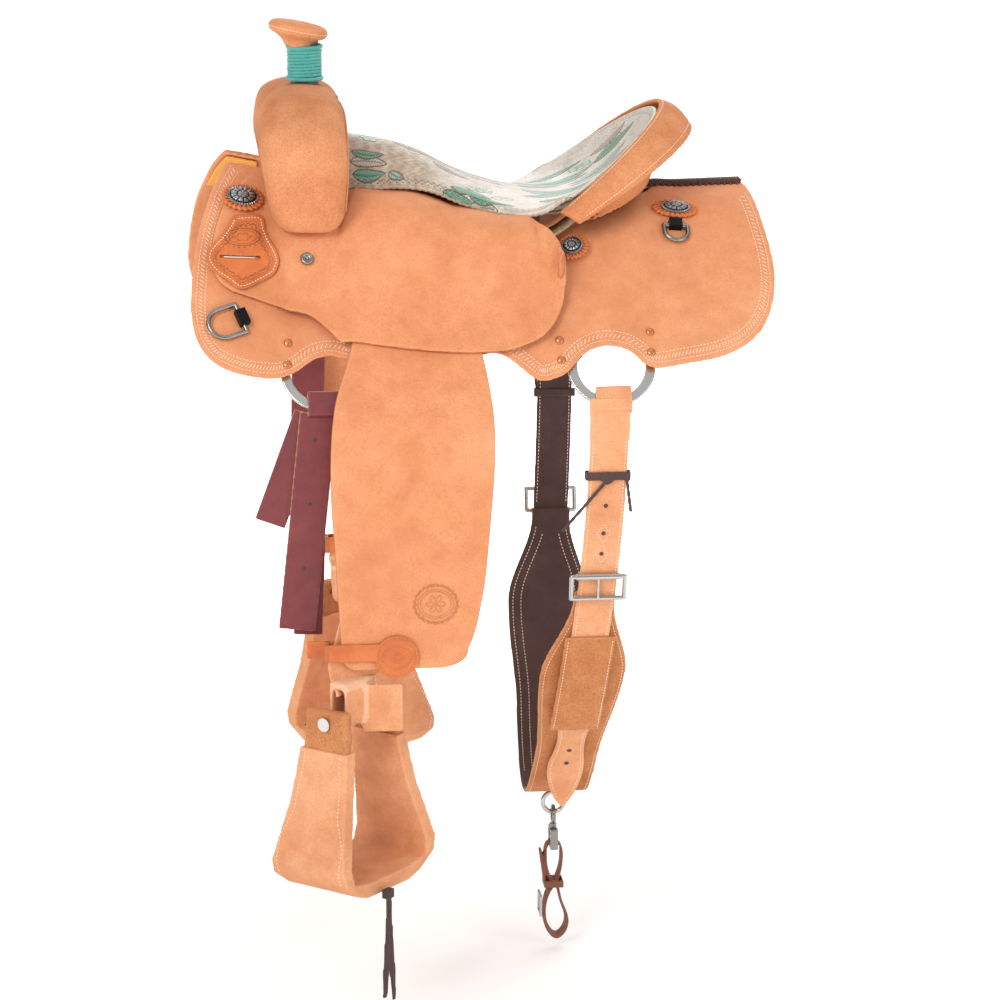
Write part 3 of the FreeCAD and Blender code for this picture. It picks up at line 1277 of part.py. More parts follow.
layer = flank_layer("KeeperLayer", -336, -238, lambda x: 110.0, 235.0, keeper_offsets, 12, 12)
slot = box("KeeperSlot", 50, 60, 3.5, (-291, -190, -28.5), about_y(4))
latigo_keeper = cut("LatigoKeeper", trimmed("Keeper", "KeeperSolid", layer, KEEPER), slot)
keep(compound("LatigoKeepers", pair(latigo_keeper, "LatigoKeeperR")), "latigo_keepers")

# ---------------------------------------------------------------- dees and their clips
WIRE = dim("dee_wire")


def dee(name, placement, width, height):
    """Flat-sided ring: bar along local x at the origin, loop hanging along local -y."""
    radius = width / 2.0
    side = height - radius
    result = fuse(name, [
        cylinder(name + "Bar", WIRE, width, (0, 0, 0), X_AXIS),
        torus(name + "Arc", radius, WIRE, Placement(Vector(0, -side, 0), about_z(180)), 180),
        cylinder(name + "SideA", WIRE, side, (radius, -side / 2.0, 0), Y_AXIS),
        cylinder(name + "SideB", WIRE, side, (-radius, -side / 2.0, 0), Y_AXIS),
        sphere(name + "End0", WIRE, (radius, 0, 0)),
        sphere(name + "End1", WIRE, (-radius, 0, 0))])
    result.Placement = placement
    return result


def clip(name, placement, length):
    """Block that holds the bar of a dee."""
    block = box(name + "Out", length, 13, 4.4 + 2 * WIRE, (0, 1.5, 1.2))
    bore = cylinder(name + "Bore", WIRE + 0.6, length + 10, (0, 0, 0), X_AXIS)
    result = cut(name, block, bore)
    result.Placement = placement
    return result


dee_offset = SKIRT_THICK + 1.6 + WIRE
# The breast dee's bar is nearly upright and its loop points forward and down.
breast_place = on_flank(-294, -97, dee_offset).multiply(
    Placement(Vector(0, 0, 0), about_z(-68)))
rear_place = on_flank(252, -6, dee_offset)
clips = []
for name, place, width, height, clip_length in (("Breast", breast_place, 38, 42, 20),
                                                ("Rear", rear_place, 30, 24, 16)):
    near_dee = dee(name + "Dee", place, width, height)
    keep(near_dee, name.lower() + "_dee_left")
    keep(mirror(name + "DeeR", near_dee), name.lower() + "_dee_right")
    clips += pair(clip(name + "Clip", place, clip_length), name + "ClipR")
keep(compound("DeeClips", clips), "dee_clips")

# ---------------------------------------------------------------- skirt lacing behind the cantle
laces = []
for k in range(13):
    x = 250 + k * 8.0
    laces.append(box("Lace%d" % k, 5.2, 24, 2.6, (x, 0, flank_z(x, 0) + SKIRT_THICK + 3.2),
                     about_z(24 if k % 2 else -24)))
laces.append(box("LaceRun", 104, 6, 2.2, (298, 0, flank_z(298, 0) + SKIRT_THICK + 3.4),
                 about_y(-1.6)))
keep(fuse("SkirtLacing", laces), "skirt_lacing")

# ---------------------------------------------------------------- check everything, then write
doc.recompute()
faults = []
for item in doc.Objects:
    if "Invalid" in item.State or "Error" in item.State:
        faults.append("%s %s" % (item.Name, item.State))
for piece in kept:
    shape = piece.Shape
    if shape.isNull() or not shape.isValid() or not shape.Solids or shape.Volume <= 0:
        faults.append("%s has no valid solid" % piece.Label)
if faults:
    print("FAILED:", *faults, sep="\n  ")
    sys.exit(1)
for piece in kept:
    piece.Shape.exportStep("parts/%s.step" % piece.Label)
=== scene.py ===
import bpy, bmesh, math
import numpy as np
from mathutils import Vector, Matrix, Quaternion
from mathutils.bvhtree import BVHTree


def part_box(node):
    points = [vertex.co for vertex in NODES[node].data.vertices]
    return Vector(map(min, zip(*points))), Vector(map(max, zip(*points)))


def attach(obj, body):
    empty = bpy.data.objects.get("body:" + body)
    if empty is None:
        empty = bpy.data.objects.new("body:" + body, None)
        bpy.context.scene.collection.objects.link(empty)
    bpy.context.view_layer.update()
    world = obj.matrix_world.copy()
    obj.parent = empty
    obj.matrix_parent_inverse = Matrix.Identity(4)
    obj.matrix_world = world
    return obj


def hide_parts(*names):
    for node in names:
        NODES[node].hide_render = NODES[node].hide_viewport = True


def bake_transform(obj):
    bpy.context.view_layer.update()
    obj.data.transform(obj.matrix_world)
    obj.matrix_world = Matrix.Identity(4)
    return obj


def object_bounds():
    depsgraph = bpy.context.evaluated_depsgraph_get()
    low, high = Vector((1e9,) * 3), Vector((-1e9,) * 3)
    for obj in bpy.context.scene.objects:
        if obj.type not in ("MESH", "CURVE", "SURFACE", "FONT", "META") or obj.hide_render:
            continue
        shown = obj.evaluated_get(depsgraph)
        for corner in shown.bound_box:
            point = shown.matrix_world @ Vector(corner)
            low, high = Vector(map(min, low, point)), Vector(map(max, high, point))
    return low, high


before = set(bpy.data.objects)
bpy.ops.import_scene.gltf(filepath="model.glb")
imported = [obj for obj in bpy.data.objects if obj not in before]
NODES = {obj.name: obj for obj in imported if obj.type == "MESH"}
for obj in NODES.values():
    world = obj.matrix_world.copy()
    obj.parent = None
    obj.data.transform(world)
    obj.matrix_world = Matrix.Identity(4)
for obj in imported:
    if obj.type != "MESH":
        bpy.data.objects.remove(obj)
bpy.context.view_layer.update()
rng = np.random.default_rng(7)
MM = 0.001


# ------------------------------------------------------------------ colour and material helpers
def lin(r, g, b):
    return tuple((c / 255.0 / 12.92) if c / 255.0 <= 0.04045 else ((c / 255.0 + 0.055) / 1.055) ** 2.4 for c in (r, g, b)) + (1.0,)


class Mat:
    """small wrapper for node building"""

    def __init__(self, name):
        self.m = bpy.data.materials.new(name)
        self.m.use_nodes = True
        self.t = self.m.node_tree
        self.t.nodes.clear()
        self.out = self.n("ShaderNodeOutputMaterial")
        self.b = self.n("ShaderNodeBsdfPrincipled")
        self.t.links.new(self.b.outputs[0], self.out.inputs[0])
        self.tc = self.n("ShaderNodeTexCoord")

    def n(self, kind, **kw):
        q = self.t.nodes.new(kind)
        for k, v in kw.items():
            setattr(q, k, v)
        return q

    def link(self, a, b):
        self.t.links.new(a, b)

    def noise(self, scale, detail=4.0, rough=0.55, dist=0.0, src=None):
        q = self.n("ShaderNodeTexNoise")
        q.inputs["Scale"].default_value = scale
        q.inputs["Detail"].default_value = detail
        q.inputs["Roughness"].default_value = rough
        q.inputs["Distortion"].default_value = dist
        self.link(src or self.tc.outputs["Object"], q.inputs["Vector"])
        return q.outputs[0]

    def voronoi(self, scale, feature="F1", src=None):
        q = self.n("ShaderNodeTexVoronoi", feature=feature)
        q.inputs["Scale"].default_value = scale
        self.link(src or self.tc.outputs["Object"], q.inputs["Vector"])
        return q.outputs["Distance"]

    def wave(self, scale, direction="X", dist=2.0, detail=2.0, dscale=1.5):
        q = self.n("ShaderNodeTexWave", bands_direction=direction)
        q.inputs["Scale"].default_value = scale
        q.inputs["Distortion"].default_value = dist
        q.inputs["Detail"].default_value = detail
        q.inputs["Detail Scale"].default_value = dscale
        self.link(self.tc.outputs["Object"], q.inputs["Vector"])
        return q.outputs[1]

    def ramp(self, src, stops):
        q = self.n("ShaderNodeValToRGB")
        e = q.color_ramp.elements
        while len(e) < len(stops):
            e.new(0.5)
        for el, (p, c) in zip(e, stops):
            el.position = p
            el.color = c if len(c) == 4 else (*c, 1)
        self.link(src, q.inputs[0])
        return q.outputs[0]

    def mix(self, a, b, f, mode="MIX"):
        q = self.n("ShaderNodeMix", data_type="RGBA", blend_type=mode)
        for sock, v in ((q.inputs[6], a), (q.inputs[7], b), (q.inputs[0], f)):
            if isinstance(v, (tuple, list)):
                sock.default_value = v
            elif isinstance(v, (int, float)):
                sock.default_value = v
            else:
                self.link(v, sock)
        return q.outputs[2]

    def math(self, op, a, b=0.0, clamp=False):
        q = self.n("ShaderNodeMath", operation=op, use_clamp=clamp)
        for sock, v in ((q.inputs[0], a), (q.inputs[1], b)):
            if isinstance(v, (int, float)):
                sock.default_value = v
            else:
                self.link(v, sock)
        return q.outputs[0]

    def attr(self, name, kind="Fac"):
        q = self.n("ShaderNodeAttribute", attribute_name=name)
        return q.outputs[kind]

    def bump(self, src, strength, dist, prev=None):
        q = self.n("ShaderNodeBump")
        q.inputs["Strength"].default_value = strength
        q.inputs["Distance"].default_value = dist
        self.link(src, q.inputs["Height"])
        if prev is not None:
            self.link(prev, q.inputs["Normal"])
        return q.outputs[0]

    def set(self, name, v):
        s = self.b.inputs[name]
        if isinstance(v, (int, float, tuple)):
            s.default_value = v
        else:
            self.link(v, s)


def leather(name, base, dark, light, edge, rough=0.78, nap=1.0, smooth_skin=False, sheen=0.25, mottle=1.0, coat=0.0):
    q = Mat(name)
    big = q.noise(7.0, 5.0, 0.6, 0.4)
    mid = q.noise(38.0, 5.0, 0.6)
    fine = q.noise(420.0, 4.0, 0.7)
    fibre = q.noise(1400.0, 3.0, 0.7)
    lo, hi = 0.5 - 0.34 / mottle, 0.5 + 0.34 / mottle
    c = q.ramp(big, [(lo, dark), (0.5, base), (hi, light)])
    c2 = q.ramp(mid, [(0.24, dark), (0.52, base), (0.80, light)])
    col = q.mix(c, c2, 0.38)
    col = q.mix(col, dark, q.math("MULTIPLY", q.ramp(fine, [(0.38, (0.55, 0.55, 0.55, 1)), (0.55, (0, 0, 0, 1))]), 0.55 * nap))
    # painted shade: darker in the creases and hollows (low pointiness); lighter on the convex corners
    geo = q.n("ShaderNodeNewGeometry")
    painted_crease_shade = q.ramp(geo.outputs["Pointiness"], [(0.44, (1, 1, 1, 1)), (0.495, (0, 0, 0, 1))])
    col = q.mix(col, dark, q.math("MULTIPLY", painted_crease_shade, 0.45))
    convex_lighter = q.ramp(geo.outputs["Pointiness"], [(0.51, (0, 0, 0, 1)), (0.57, (1, 1, 1, 1))])
    col = q.mix(col, light, q.math("MULTIPLY", convex_lighter, 0.35))
    # cut edge of the sheet
    ecol = q.mix(edge, dark, q.math("MULTIPLY", q.noise(160.0, 3.0), 0.55))
    col = q.mix(col, ecol, q.math("MULTIPLY", q.attr("edge"), 0.85))
    # dark tooling drawn on the mesh, and on the swell cover painted shade over the top and in crease-like patches
    col = q.mix(col, tuple(c * 0.38 for c in dark[:3]) + (1,), q.math("MULTIPLY", q.attr("ink"), 0.8))
    q.set("Base Color", col)
    r = q.math("ADD", q.math("MULTIPLY", mid, 0.22), rough - 0.11)
    q.set("Roughness", r)
    q.set("Sheen Weight", sheen)
    q.set("Sheen Roughness", 0.5)
    q.set("Sheen Tint", light)
    q.set("Coat Weight", coat)
    q.set("Coat Roughness", 0.35)
    q.set("Specular IOR Level", 0.28 if not smooth_skin else 0.45)
    if smooth_skin:
        v = q.voronoi(620.0)
        b = q.bump(v, 0.28, 0.0005)
        b = q.bump(mid, 0.35, 0.0012, b)
    else:
        b = q.bump(fibre, 0.35 * nap, 0.0006)
        b = q.bump(fine, 0.4 * nap, 0.0009, b)
        b = q.bump(mid, 0.3, 0.0016, b)
    q.set("Normal", b)
    return q.m


def metal(name, col, dark, rough=0.28, brush=0.6, grime=0.5):
    q = Mat(name)
    n1 = q.noise(55.0, 5.0, 0.6)
    br = q.wave(260.0, "Z", 6.0, 3.0, 2.0)
    geo = q.n("ShaderNodeNewGeometry")
    gr = q.ramp(geo.outputs["Pointiness"], [(0.42, (1, 1, 1, 1)), (0.5, (0, 0, 0, 1))])
    c = q.mix(col, dark, q.math("MULTIPLY", q.ramp(n1, [(0.45, (0, 0, 0, 1)), (0.72, (1, 1, 1, 1))]), 0.5 * grime))
    c = q.mix(c, dark, q.math("MULTIPLY", gr, grime))
    c = q.mix(c, dark, q.math("MULTIPLY", q.attr("ink"), 0.95))
    q.set("Base Color", c)
    q.set("Metallic", 1.0)
    q.set("Roughness", q.math("ADD", q.math("MULTIPLY", n1, 0.25), rough - 0.08))
    b = q.bump(br, 0.06 * brush, 0.0004)
    b = q.bump(n1, 0.1, 0.0006, b)
    q.set("Normal", b)
    return q.m


def cloth(name, col, dark, light, scale=900.0, rough=0.8, sheen=0.4, bumpd=0.0012):
    q = Mat(name)
    n1 = q.noise(scale, 5.0, 0.65)
    n2 = q.noise(24.0, 4.0, 0.6)
    c = q.ramp(n1, [(0.32, dark), (0.52, col), (0.7, light)])
    c = q.mix(c, dark, q.math("MULTIPLY", q.ramp(n2, [(0.42, (1, 1, 1, 1)), (0.6, (0, 0, 0, 1))]), 0.35))
    q.set("Base Color", c)
    q.set("Roughness", rough)
    q.set("Sheen Weight", sheen)
    q.set("Specular IOR Level", 0.2)
    q.set("Normal", q.bump(n1, 0.6, bumpd))
    return q.m


def wood(name):
    q = Mat(name)
    w = q.wave(60.0, "Y", 2.5, 3.0, 1.2)
    n1 = q.noise(240.0, 4.0, 0.6)
    c = q.ramp(w, [(0.2, lin(176, 132, 86)), (0.5, lin(190, 148, 100)), (0.85, lin(200, 160, 112))])
    c = q.mix(c, lin(120, 84, 52), q.math("MULTIPLY", n1, 0.4))
    q.set("Base Color", c)
    q.set("Roughness", 0.62)
    q.set("Normal", q.bump(n1, 0.3, 0.0006))
    return q.m


ROUGH = leather("roughout_tan", lin(222, 147, 102), lin(190, 112, 68), lin(238, 174, 130), lin(172, 104, 66), nap=1.1)
SKIRTM = leather("roughout_skirt", lin(222, 148, 104), lin(192, 116, 74), lin(238, 176, 134), lin(184, 120, 84), nap=1.0)
SWELLM = leather("roughout_swell", lin(216, 142, 96), lin(170, 98, 58), lin(236, 170, 122), lin(200, 130, 86), nap=1.3, mottle=1.5)
CANTM = leather("roughout_cantle", lin(208, 132, 84), lin(164, 94, 56), lin(230, 162, 114), lin(196, 122, 78), nap=1.3, mottle=1.5)
STIRM = leather("stirrup_leather", lin(228, 160, 116), lin(190, 118, 76), lin(242, 190, 150), lin(244, 206, 172), nap=1.0, mottle=1.2)
BRUSH = leather("rough_brown", lin(196, 124, 76), lin(150, 86, 48), lin(222, 158, 108), lin(226, 170, 128), nap=1.6, mottle=1.8)
RUSSET = leather("russet", lin(208, 110, 52), lin(150, 66, 24), lin(230, 142, 82), lin(190, 110, 62), rough=0.48, nap=0.5, smooth_skin=True, sheen=0.0, coat=0.12)
BURG = leather("burgundy", lin(118, 44, 48), lin(78, 24, 30), lin(142, 62, 64), lin(226, 178, 150), rough=0.5, nap=0.4, smooth_skin=True, sheen=0.0, coat=0.1)
BURGR = leather("burgundy_flesh", lin(176, 104, 74), lin(130, 66, 48), lin(202, 136, 104), lin(226, 178, 150), rough=0.75, nap=1.1)
DARK = leather("dark_brown", lin(74, 46, 44), lin(44, 26, 25), lin(98, 66, 62), lin(60, 38, 34), rough=0.5, nap=0.4, smooth_skin=True, sheen=0.0)
LACE = leather("lace_brown", lin(72, 48, 46), lin(40, 26, 25), lin(104, 76, 72), lin(80, 56, 52), rough=0.6, nap=0.6, smooth_skin=True)
TANS = leather("connector_tan", lin(128, 76, 56), lin(84, 46, 34), lin(160, 104, 80), lin(186, 138, 110), rough=0.6, nap=0.6, smooth_skin=True)
GOLD = leather("golden", lin(232, 158, 60), lin(190, 116, 36), lin(246, 184, 92), lin(226, 160, 80), rough=0.5, nap=0.4, smooth_skin=True, sheen=0.0)
GROUND = leather("ground", lin(196, 140, 98), lin(150, 100, 66), lin(220, 170, 128), lin(180, 126, 88), nap=1.0)
FLEECE = cloth("fleece", lin(228, 212, 178), lin(188, 166, 128), lin(246, 238, 214), 240.0, 0.95, 0.6, 0.004)
FOAM = cloth("felt", lin(196, 190, 176), lin(160, 152, 138), lin(220, 216, 206), 700.0)
WOOD = wood("tree_wood_grain")
STEEL = metal("stainless_brushed", lin(196, 194, 190), lin(96, 94, 92), 0.2, 0.1, 0.1)
NICKEL = metal("nickel_dark", lin(150, 146, 140), lin(60, 58, 56), 0.24, 0.15, 0.12)
SILVER = metal("antique_silver_engraved", lin(176, 176, 178), lin(22, 22, 24), 0.3, 0.5, 1.0)
COPPER = metal("copper_domed", lin(214, 140, 96), lin(110, 60, 38), 0.3, 0.4, 0.5)
BLACK = metal("black_clip", lin(38, 38, 40), lin(14, 14, 14), 0.4, 0.6, 0.6)
IRON = metal("horn_iron", lin(120, 118, 114), lin(52, 50, 48), 0.5, 0.6, 0.6)
CORD = cloth("turquoise_cord", lin(88, 186, 176), lin(46, 134, 128), lin(128, 214, 204), 1400.0, 0.6, 0.3, 0.0006)
THREAD = cloth("cream_thread", lin(250, 232, 208), lin(216, 186, 152), lin(255, 246, 232), 2600.0, 0.6, 0.1, 0.0003)


def seat_material():
    q = Mat("tooled_seat")
    col = q.attr("tool", "Color")
    mid = q.noise(46.0, 5.0, 0.6)
    fine = q.noise(700.0, 4.0, 0.7)
    c = q.mix(col, lin(120, 98, 80), q.math("MULTIPLY", q.ramp(mid, [(0.5, (0, 0, 0, 1)), (0.72, (1, 1, 1, 1))]), 0.35), "MIX")
    c = q.mix(c, lin(90, 70, 56), q.math("MULTIPLY", q.ramp(fine, [(0.55, (0, 0, 0, 1)), (0.75, (1, 1, 1, 1))]), 0.25))
    q.set("Base Color", c)
    q.set("Roughness", q.math("ADD", q.math("MULTIPLY", mid, 0.25), 0.3))
    q.set("Coat Weight", 0.15)
    q.set("Coat Roughness", 0.3)
    b = q.bump(q.voronoi(560.0), 0.25, 0.0005)
    b = q.bump(fine, 0.2, 0.0004, b)
    q.set("Normal", b)
    return q.m


SEATM = seat_material()

# ------------------------------------------------------------------ mesh helpers


def make(name, verts, faces, mat, smooth=True):
    me = bpy.data.meshes.new(name)
    me.from_pydata([tuple(v) for v in verts], [], [tuple(int(i) for i in f) for f in faces])
    me.validate()
    me.update()
    o = bpy.data.objects.new(name, me)
    bpy.context.collection.objects.link(o)
    me.materials.append(mat)
    if smooth:
        me.polygons.foreach_set("use_smooth", [True] * len(me.polygons))
    return o


def finish_piece(o, body, nodes=(), blend=None):
    if blend:
        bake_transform(o)
    else:
        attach(o, body)
    if nodes:
        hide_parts(*nodes)
    return o


def apply_mods(o):
    bpy.context.view_layer.update()
    dg = bpy.context.evaluated_depsgraph_get()
    me = bpy.data.meshes.new_from_object(o.evaluated_get(dg))
    old = o.data
    o.modifiers.clear()
    o.data = me
    bpy.data.meshes.remove(old)


def laplace(o, n, f=0.5):
    """plain Laplacian smoothing with numpy"""
    me = o.data
    nv = len(me.vertices)
    co = np.empty(nv * 3)
    me.vertices.foreach_get("co", co)
    co = co.reshape(-1, 3)
    e = np.empty(len(me.edges) * 2, int)
    me.edges.foreach_get("vertices", e)
    e = e.reshape(-1, 2)
    deg = np.bincount(e.ravel(), minlength=nv).astype(float)
    deg[deg == 0] = 1
    for _ in range(n):
        s = np.zeros_like(co)
        for k in range(3):
            s[:, k] = np.bincount(e[:, 0], co[e[:, 1], k], nv) + np.bincount(e[:, 1], co[e[:, 0], k], nv)
        co = co + f * (s / deg[:, None] - co)
    me.vertices.foreach_set("co", co.ravel())
    me.update()


def set_attr(o, name, vals):
    a = o.data.attributes.get(name) or o.data.attributes.new(name, "FLOAT", "POINT")
    a.data.foreach_set("value", np.asarray(vals, np.float32))


def coords(o):
    co = np.empty(len(o.data.vertices) * 3)
    o.data.vertices.foreach_get("co", co)
    return co.reshape(-1, 3)


def normals(o):
    co = np.empty(len(o.data.vertices) * 3)
    o.data.vertices.foreach_get("normal", co)
    return co.reshape(-1, 3)


def tree_of(o):
    me = o.data
    return BVHTree.FromPolygons([v.co.copy() for v in me.vertices], [tuple(p.vertices) for p in me.polygons])


def edge_attr(o, thick):
    """1 on the cut edge of a sheet, 0 on its faces: found by looking through the leather"""
    bv = tree_of(o)
    co, no = coords(o), normals(o)
    out = np.zeros(len(co))
    for i in range(len(co)):
        n = Vector(no[i])
        hit = bv.ray_cast(Vector(co[i]) - n * 0.0002, -n, 0.05)
        out[i] = 1.0 if hit[0] is None or hit[3] > thick * 1.7 else 0.0
    set_attr(o, "edge", out)


def soft(name, nodes, body, mat, voxel=2.2, smooth=2, thick=None, extra=None, replace=True, fac=0.5, puff=0.0):
    """a rounded leather piece grown from the frame's layer"""
    bm = bmesh.new()
    for nd in nodes:
        bm.from_mesh(NODES[nd].data)
    bmesh.ops.remove_doubles(bm, verts=bm.verts, dist=1e-6)
    me = bpy.data.meshes.new(name)
    bm.to_mesh(me)
    bm.free()
    o = bpy.data.objects.new(name, me)
    bpy.context.collection.objects.link(o)
    r = o.modifiers.new("r", "REMESH")
    r.mode = "VOXEL"
    r.voxel_size = voxel * MM
    r.adaptivity = 0.0
    apply_mods(o)
    laplace(o, smooth, fac)
    if puff:
        co = coords(o) + normals(o) * puff * MM
        o.data.vertices.foreach_set("co", co.ravel())
        o.data.update()
    o.data.materials.clear()
    o.data.materials.append(mat)
    o.data.polygons.foreach_set("use_smooth", [True] * len(o.data.polygons))
    if extra:
        extra(o)
    if thick:
        edge_attr(o, thick * MM)
    finish_piece(o, body, nodes if replace else ())
    return o


class Bag:
    """collects many small shapes into one mesh"""

    def __init__(self):
        self.v, self.f = [], []
        self.n = 0

    def add(self, verts, faces):
        self.v.append(np.asarray(verts, float))
        self.f += [tuple(int(i) + self.n for i in q) for q in faces]
        self.n += len(verts)

    def stitch(self, a, b, n, r, sink=0.35):
        """one stitch of thread from a to b lying on a surface with normal n"""
        a, b, n = np.asarray(a), np.asarray(b), np.asarray(n)
        d = b - a
        L = np.linalg.norm(d)
        if L < 1e-6:
            return
        d = d / L
        s = np.cross(d, n)
        s = s / (np.linalg.norm(s) + 1e-12)
        m = np.cross(s, d)
        vs = []
        prof = ((0.0, 0.25, -0.5), (0.14, 0.8, 0.1), (0.5, 1.0, 0.45), (0.86, 0.8, 0.1), (1.0, 0.25, -0.5))
        K = 6
        for t, q, h in prof:
            c = a + d * L * t + m * r * (h - sink + 0.3)
            for k in range(K):
                w = 2 * math.pi * k / K
                vs.append(c + s * r * q * math.cos(w) + m * r * q * math.sin(w) * 0.8)
        fs = []
        for i in range(len(prof) - 1):
            for k in range(K):
                fs.append((i * K + k, i * K + (k + 1) % K, (i + 1) * K + (k + 1) % K, (i + 1) * K + k))
        fs.append(tuple(range(K))[::-1])
        fs.append(tuple(range((len(prof) - 1) * K, len(prof) * K)))
        self.add(vs, fs)

    def run(self, pts, nrm, step=4.2, length=3.2, r=0.55, lift=0.0):
        """a row of stitches along a 3-D path (metres)"""
        P, N = np.asarray(pts), np.asarray(nrm)
        seg = np.linalg.norm(np.diff(P, axis=0), axis=1)
        s = np.concatenate(([0], np.cumsum(seg)))
        n = int(s[-1] / (step * MM))
        for i in range(n):
            a0 = (i + 0.1) * step * MM
            b0 = a0 + length * MM
            pa = np.array([np.interp(a0, s, P[:, k]) for k in range(3)])
            pb = np.array([np.interp(b0, s, P[:, k]) for k in range(3)])
            nn = np.array([np.interp(a0, s, N[:, k]) for k in range(3)])
            nn = nn / (np.linalg.norm(nn) + 1e-12)
            self.stitch(pa + nn * lift * MM, pb + nn * lift * MM, nn, r * MM)

    def tube(self, pts, r, K=8, closed=False, taper=None):
        P = np.asarray(pts, float)
        n = len(P)
        T = np.gradient(P, axis=0) if not closed else (np.roll(P, -1, 0) - np.roll(P, 1, 0))
        T /= np.linalg.norm(T, axis=1)[:, None] + 1e-12
        up = np.array([0.31, 0.2, 0.93])
        vs = []
        prev = None
        for i in range(n):
            u = up if prev is None else prev
            s = u - T[i] * np.dot(u, T[i])
            if np.linalg.norm(s) < 1e-3:
                s = np.cross(T[i], [1, 0.3, 0])
            s /= np.linalg.norm(s)
            prev = s
            m = np.cross(T[i], s)
            rr = r if taper is None else r * taper[i]
            for k in range(K):
                w = 2 * math.pi * k / K
                vs.append(P[i] + rr * (math.cos(w) * s + math.sin(w) * m))
        fs = []
        for i in range(n if closed else n - 1):
            j = (i + 1) % n
            for k in range(K):
                fs.append((i * K + k, i * K + (k + 1) % K, j * K + (k + 1) % K, j * K + k))
        if not closed:
            fs.append(tuple(range(K))[::-1])
            fs.append(tuple(range((n - 1) * K, n * K)))
        self.add(vs, fs)

    def obj(self, name, mat):
        return make(name, np.concatenate(self.v), self.f, mat)


def slab(name, top, bot, mat, rim=3):
    """closed sheet between two point grids with a rounded border"""
    top, bot = np.asarray(top, float), np.asarray(bot, float)
    n, m = top.shape[:2]
    idx = [(0, j) for j in range(m)] + [(i, m - 1) for i in range(1, n)] + [(n - 1, j) for j in range(m - 2, -1, -1)] + [(i, 0) for i in range(n - 2, 0, -1)]
    verts = list(top.reshape(-1, 3)) + list(bot.reshape(-1, 3))
    T = lambda i, j: i * m + j
    B = lambda i, j: n * m + i * m + j
    faces = []
    for i in range(n - 1):
        for j in range(m - 1):
            faces.append((T(i, j), T(i + 1, j), T(i + 1, j + 1), T(i, j + 1)))
            faces.append((B(i, j), B(i, j + 1), B(i + 1, j + 1), B(i + 1, j)))
    rings = [[T(i, j) for i, j in idx]]
    for k in range(1, rim):
        t = k / rim
        ring = []
        for q, (i, j) in enumerate(idx):
            a, b = top[i, j], bot[i, j]
            ii, jj = min(max(i, 1), n - 2), min(max(j, 1), m - 2)
            out = (top[i, j] - top[ii, jj])
            out = out / (np.linalg.norm(out) + 1e-9)
            p = a + (b - a) * t + out * np.linalg.norm(b - a) * 0.32 * math.sin(math.pi * t)
            ring.append(len(verts))
            verts.append(p)
        rings.append(ring)
    rings.append([B(i, j) for i, j in idx])
    L = len(idx)
    for a, b in zip(rings, rings[1:]):
        for q in range(L):
            faces.append((a[q], a[(q + 1) % L], b[(q + 1) % L], b[q]))
    return make(name, verts, faces, mat)


# ------------------------------------------------------------------ the shape of the saddle (mm)
def smooth(a, b, x):
    q = max(0.0, min(1.0, (x - a) / (b - a)))
    return q * q * (3 - 2 * q)


def lerp_table(tab, x):
    if x <= tab[0][0]:
        return tab[0][1]
    for (a, va), (b, vb) in zip(tab, tab[1:]):
        if x <= b:
            q = (x - a) / (b - a)
            q = q * q * (3 - 2 * q)
            return va + (vb - va) * q
    return tab[-1][1]


def catmull(tab, x):
    n = len(tab)
    if x <= tab[0][0]:
        return tab[0][1]
    if x >= tab[-1][0]:
        return tab[-1][1]
    for i in range(n - 1):
        if x <= tab[i + 1][0]:
            x0, v0 = tab[i]
            x1, v1 = tab[i + 1]
            m0 = (v1 - tab[i - 1][1]) / (x1 - tab[i - 1][0]) if i > 0 else (v1 - v0) / (x1 - x0)
            m1 = (tab[i + 2][1] - v0) / (tab[i + 2][0] - x0) if i + 2 < n else (v1 - v0) / (x1 - x0)
            hh = x1 - x0
            q = (x - x0) / hh
            return ((2 * q ** 3 - 3 * q ** 2 + 1) * v0 + (q ** 3 - 2 * q ** 2 + q) * hh * m0 +
                    (-2 * q ** 3 + 3 * q ** 2) * v1 + (q ** 3 - q ** 2) * hh * m1)


TOP = [(-360, 92), (-262, 84), (-205, 44), (-150, 10), (-90, -8), (-20, -26), (40, -34), (104, -33), (160, -4), (208, 19), (250, 28), (380, 33)]


def crown(x):
    f = 1 - smooth(-345, -215, x)
    r = smooth(120, 270, x)
    return 72 + 18 * f - 42 * r, 100 + 6 * f + 30 * r


def zref(x, y):
    y = abs(y)
    zt, rr = crown(x)
    zp = zt - y * y / (2 * rr) if y < 150 else zt - 150.0 ** 2 / (2 * rr) - 150.0 / rr * (y - 150)
    top = lerp_table(TOP, x)
    k = 24.0
    hh = max(k - abs(top - zp), 0.0) / k
    return min(top, zp) - hh * hh * k / 4


def flank(x, y, o):
    e = 0.4
    dx = (zref(x + e, y) - zref(x - e, y)) / (2 * e)
    dy = (zref(x, abs(y) + e) - zref(x, abs(y) - e)) / (2 * e)
    n = Vector((-dx, dy, 1.0)).normalized()
    return Vector((x, -abs(y), zref(x, y))) + n * o


def on_flank(x, z, o):
    lo_, hi_ = 0.0, 300.0
    for _ in range(45):
        mid = (lo_ + hi_) / 2
        if flank(x, mid, o).z > z:
            lo_ = mid
        else:
            hi_ = mid
    y = (lo_ + hi_) / 2
    p = flank(x, y, o)
    n = (flank(x, y, o + 1) - p).normalized()
    xd = (Vector((1, 0, 0)) - n * n.x).normalized()
    yd = n.cross(xd)
    m = Matrix((xd, yd, n)).transposed().to_4x4()
    m.translation = p
    return m, y


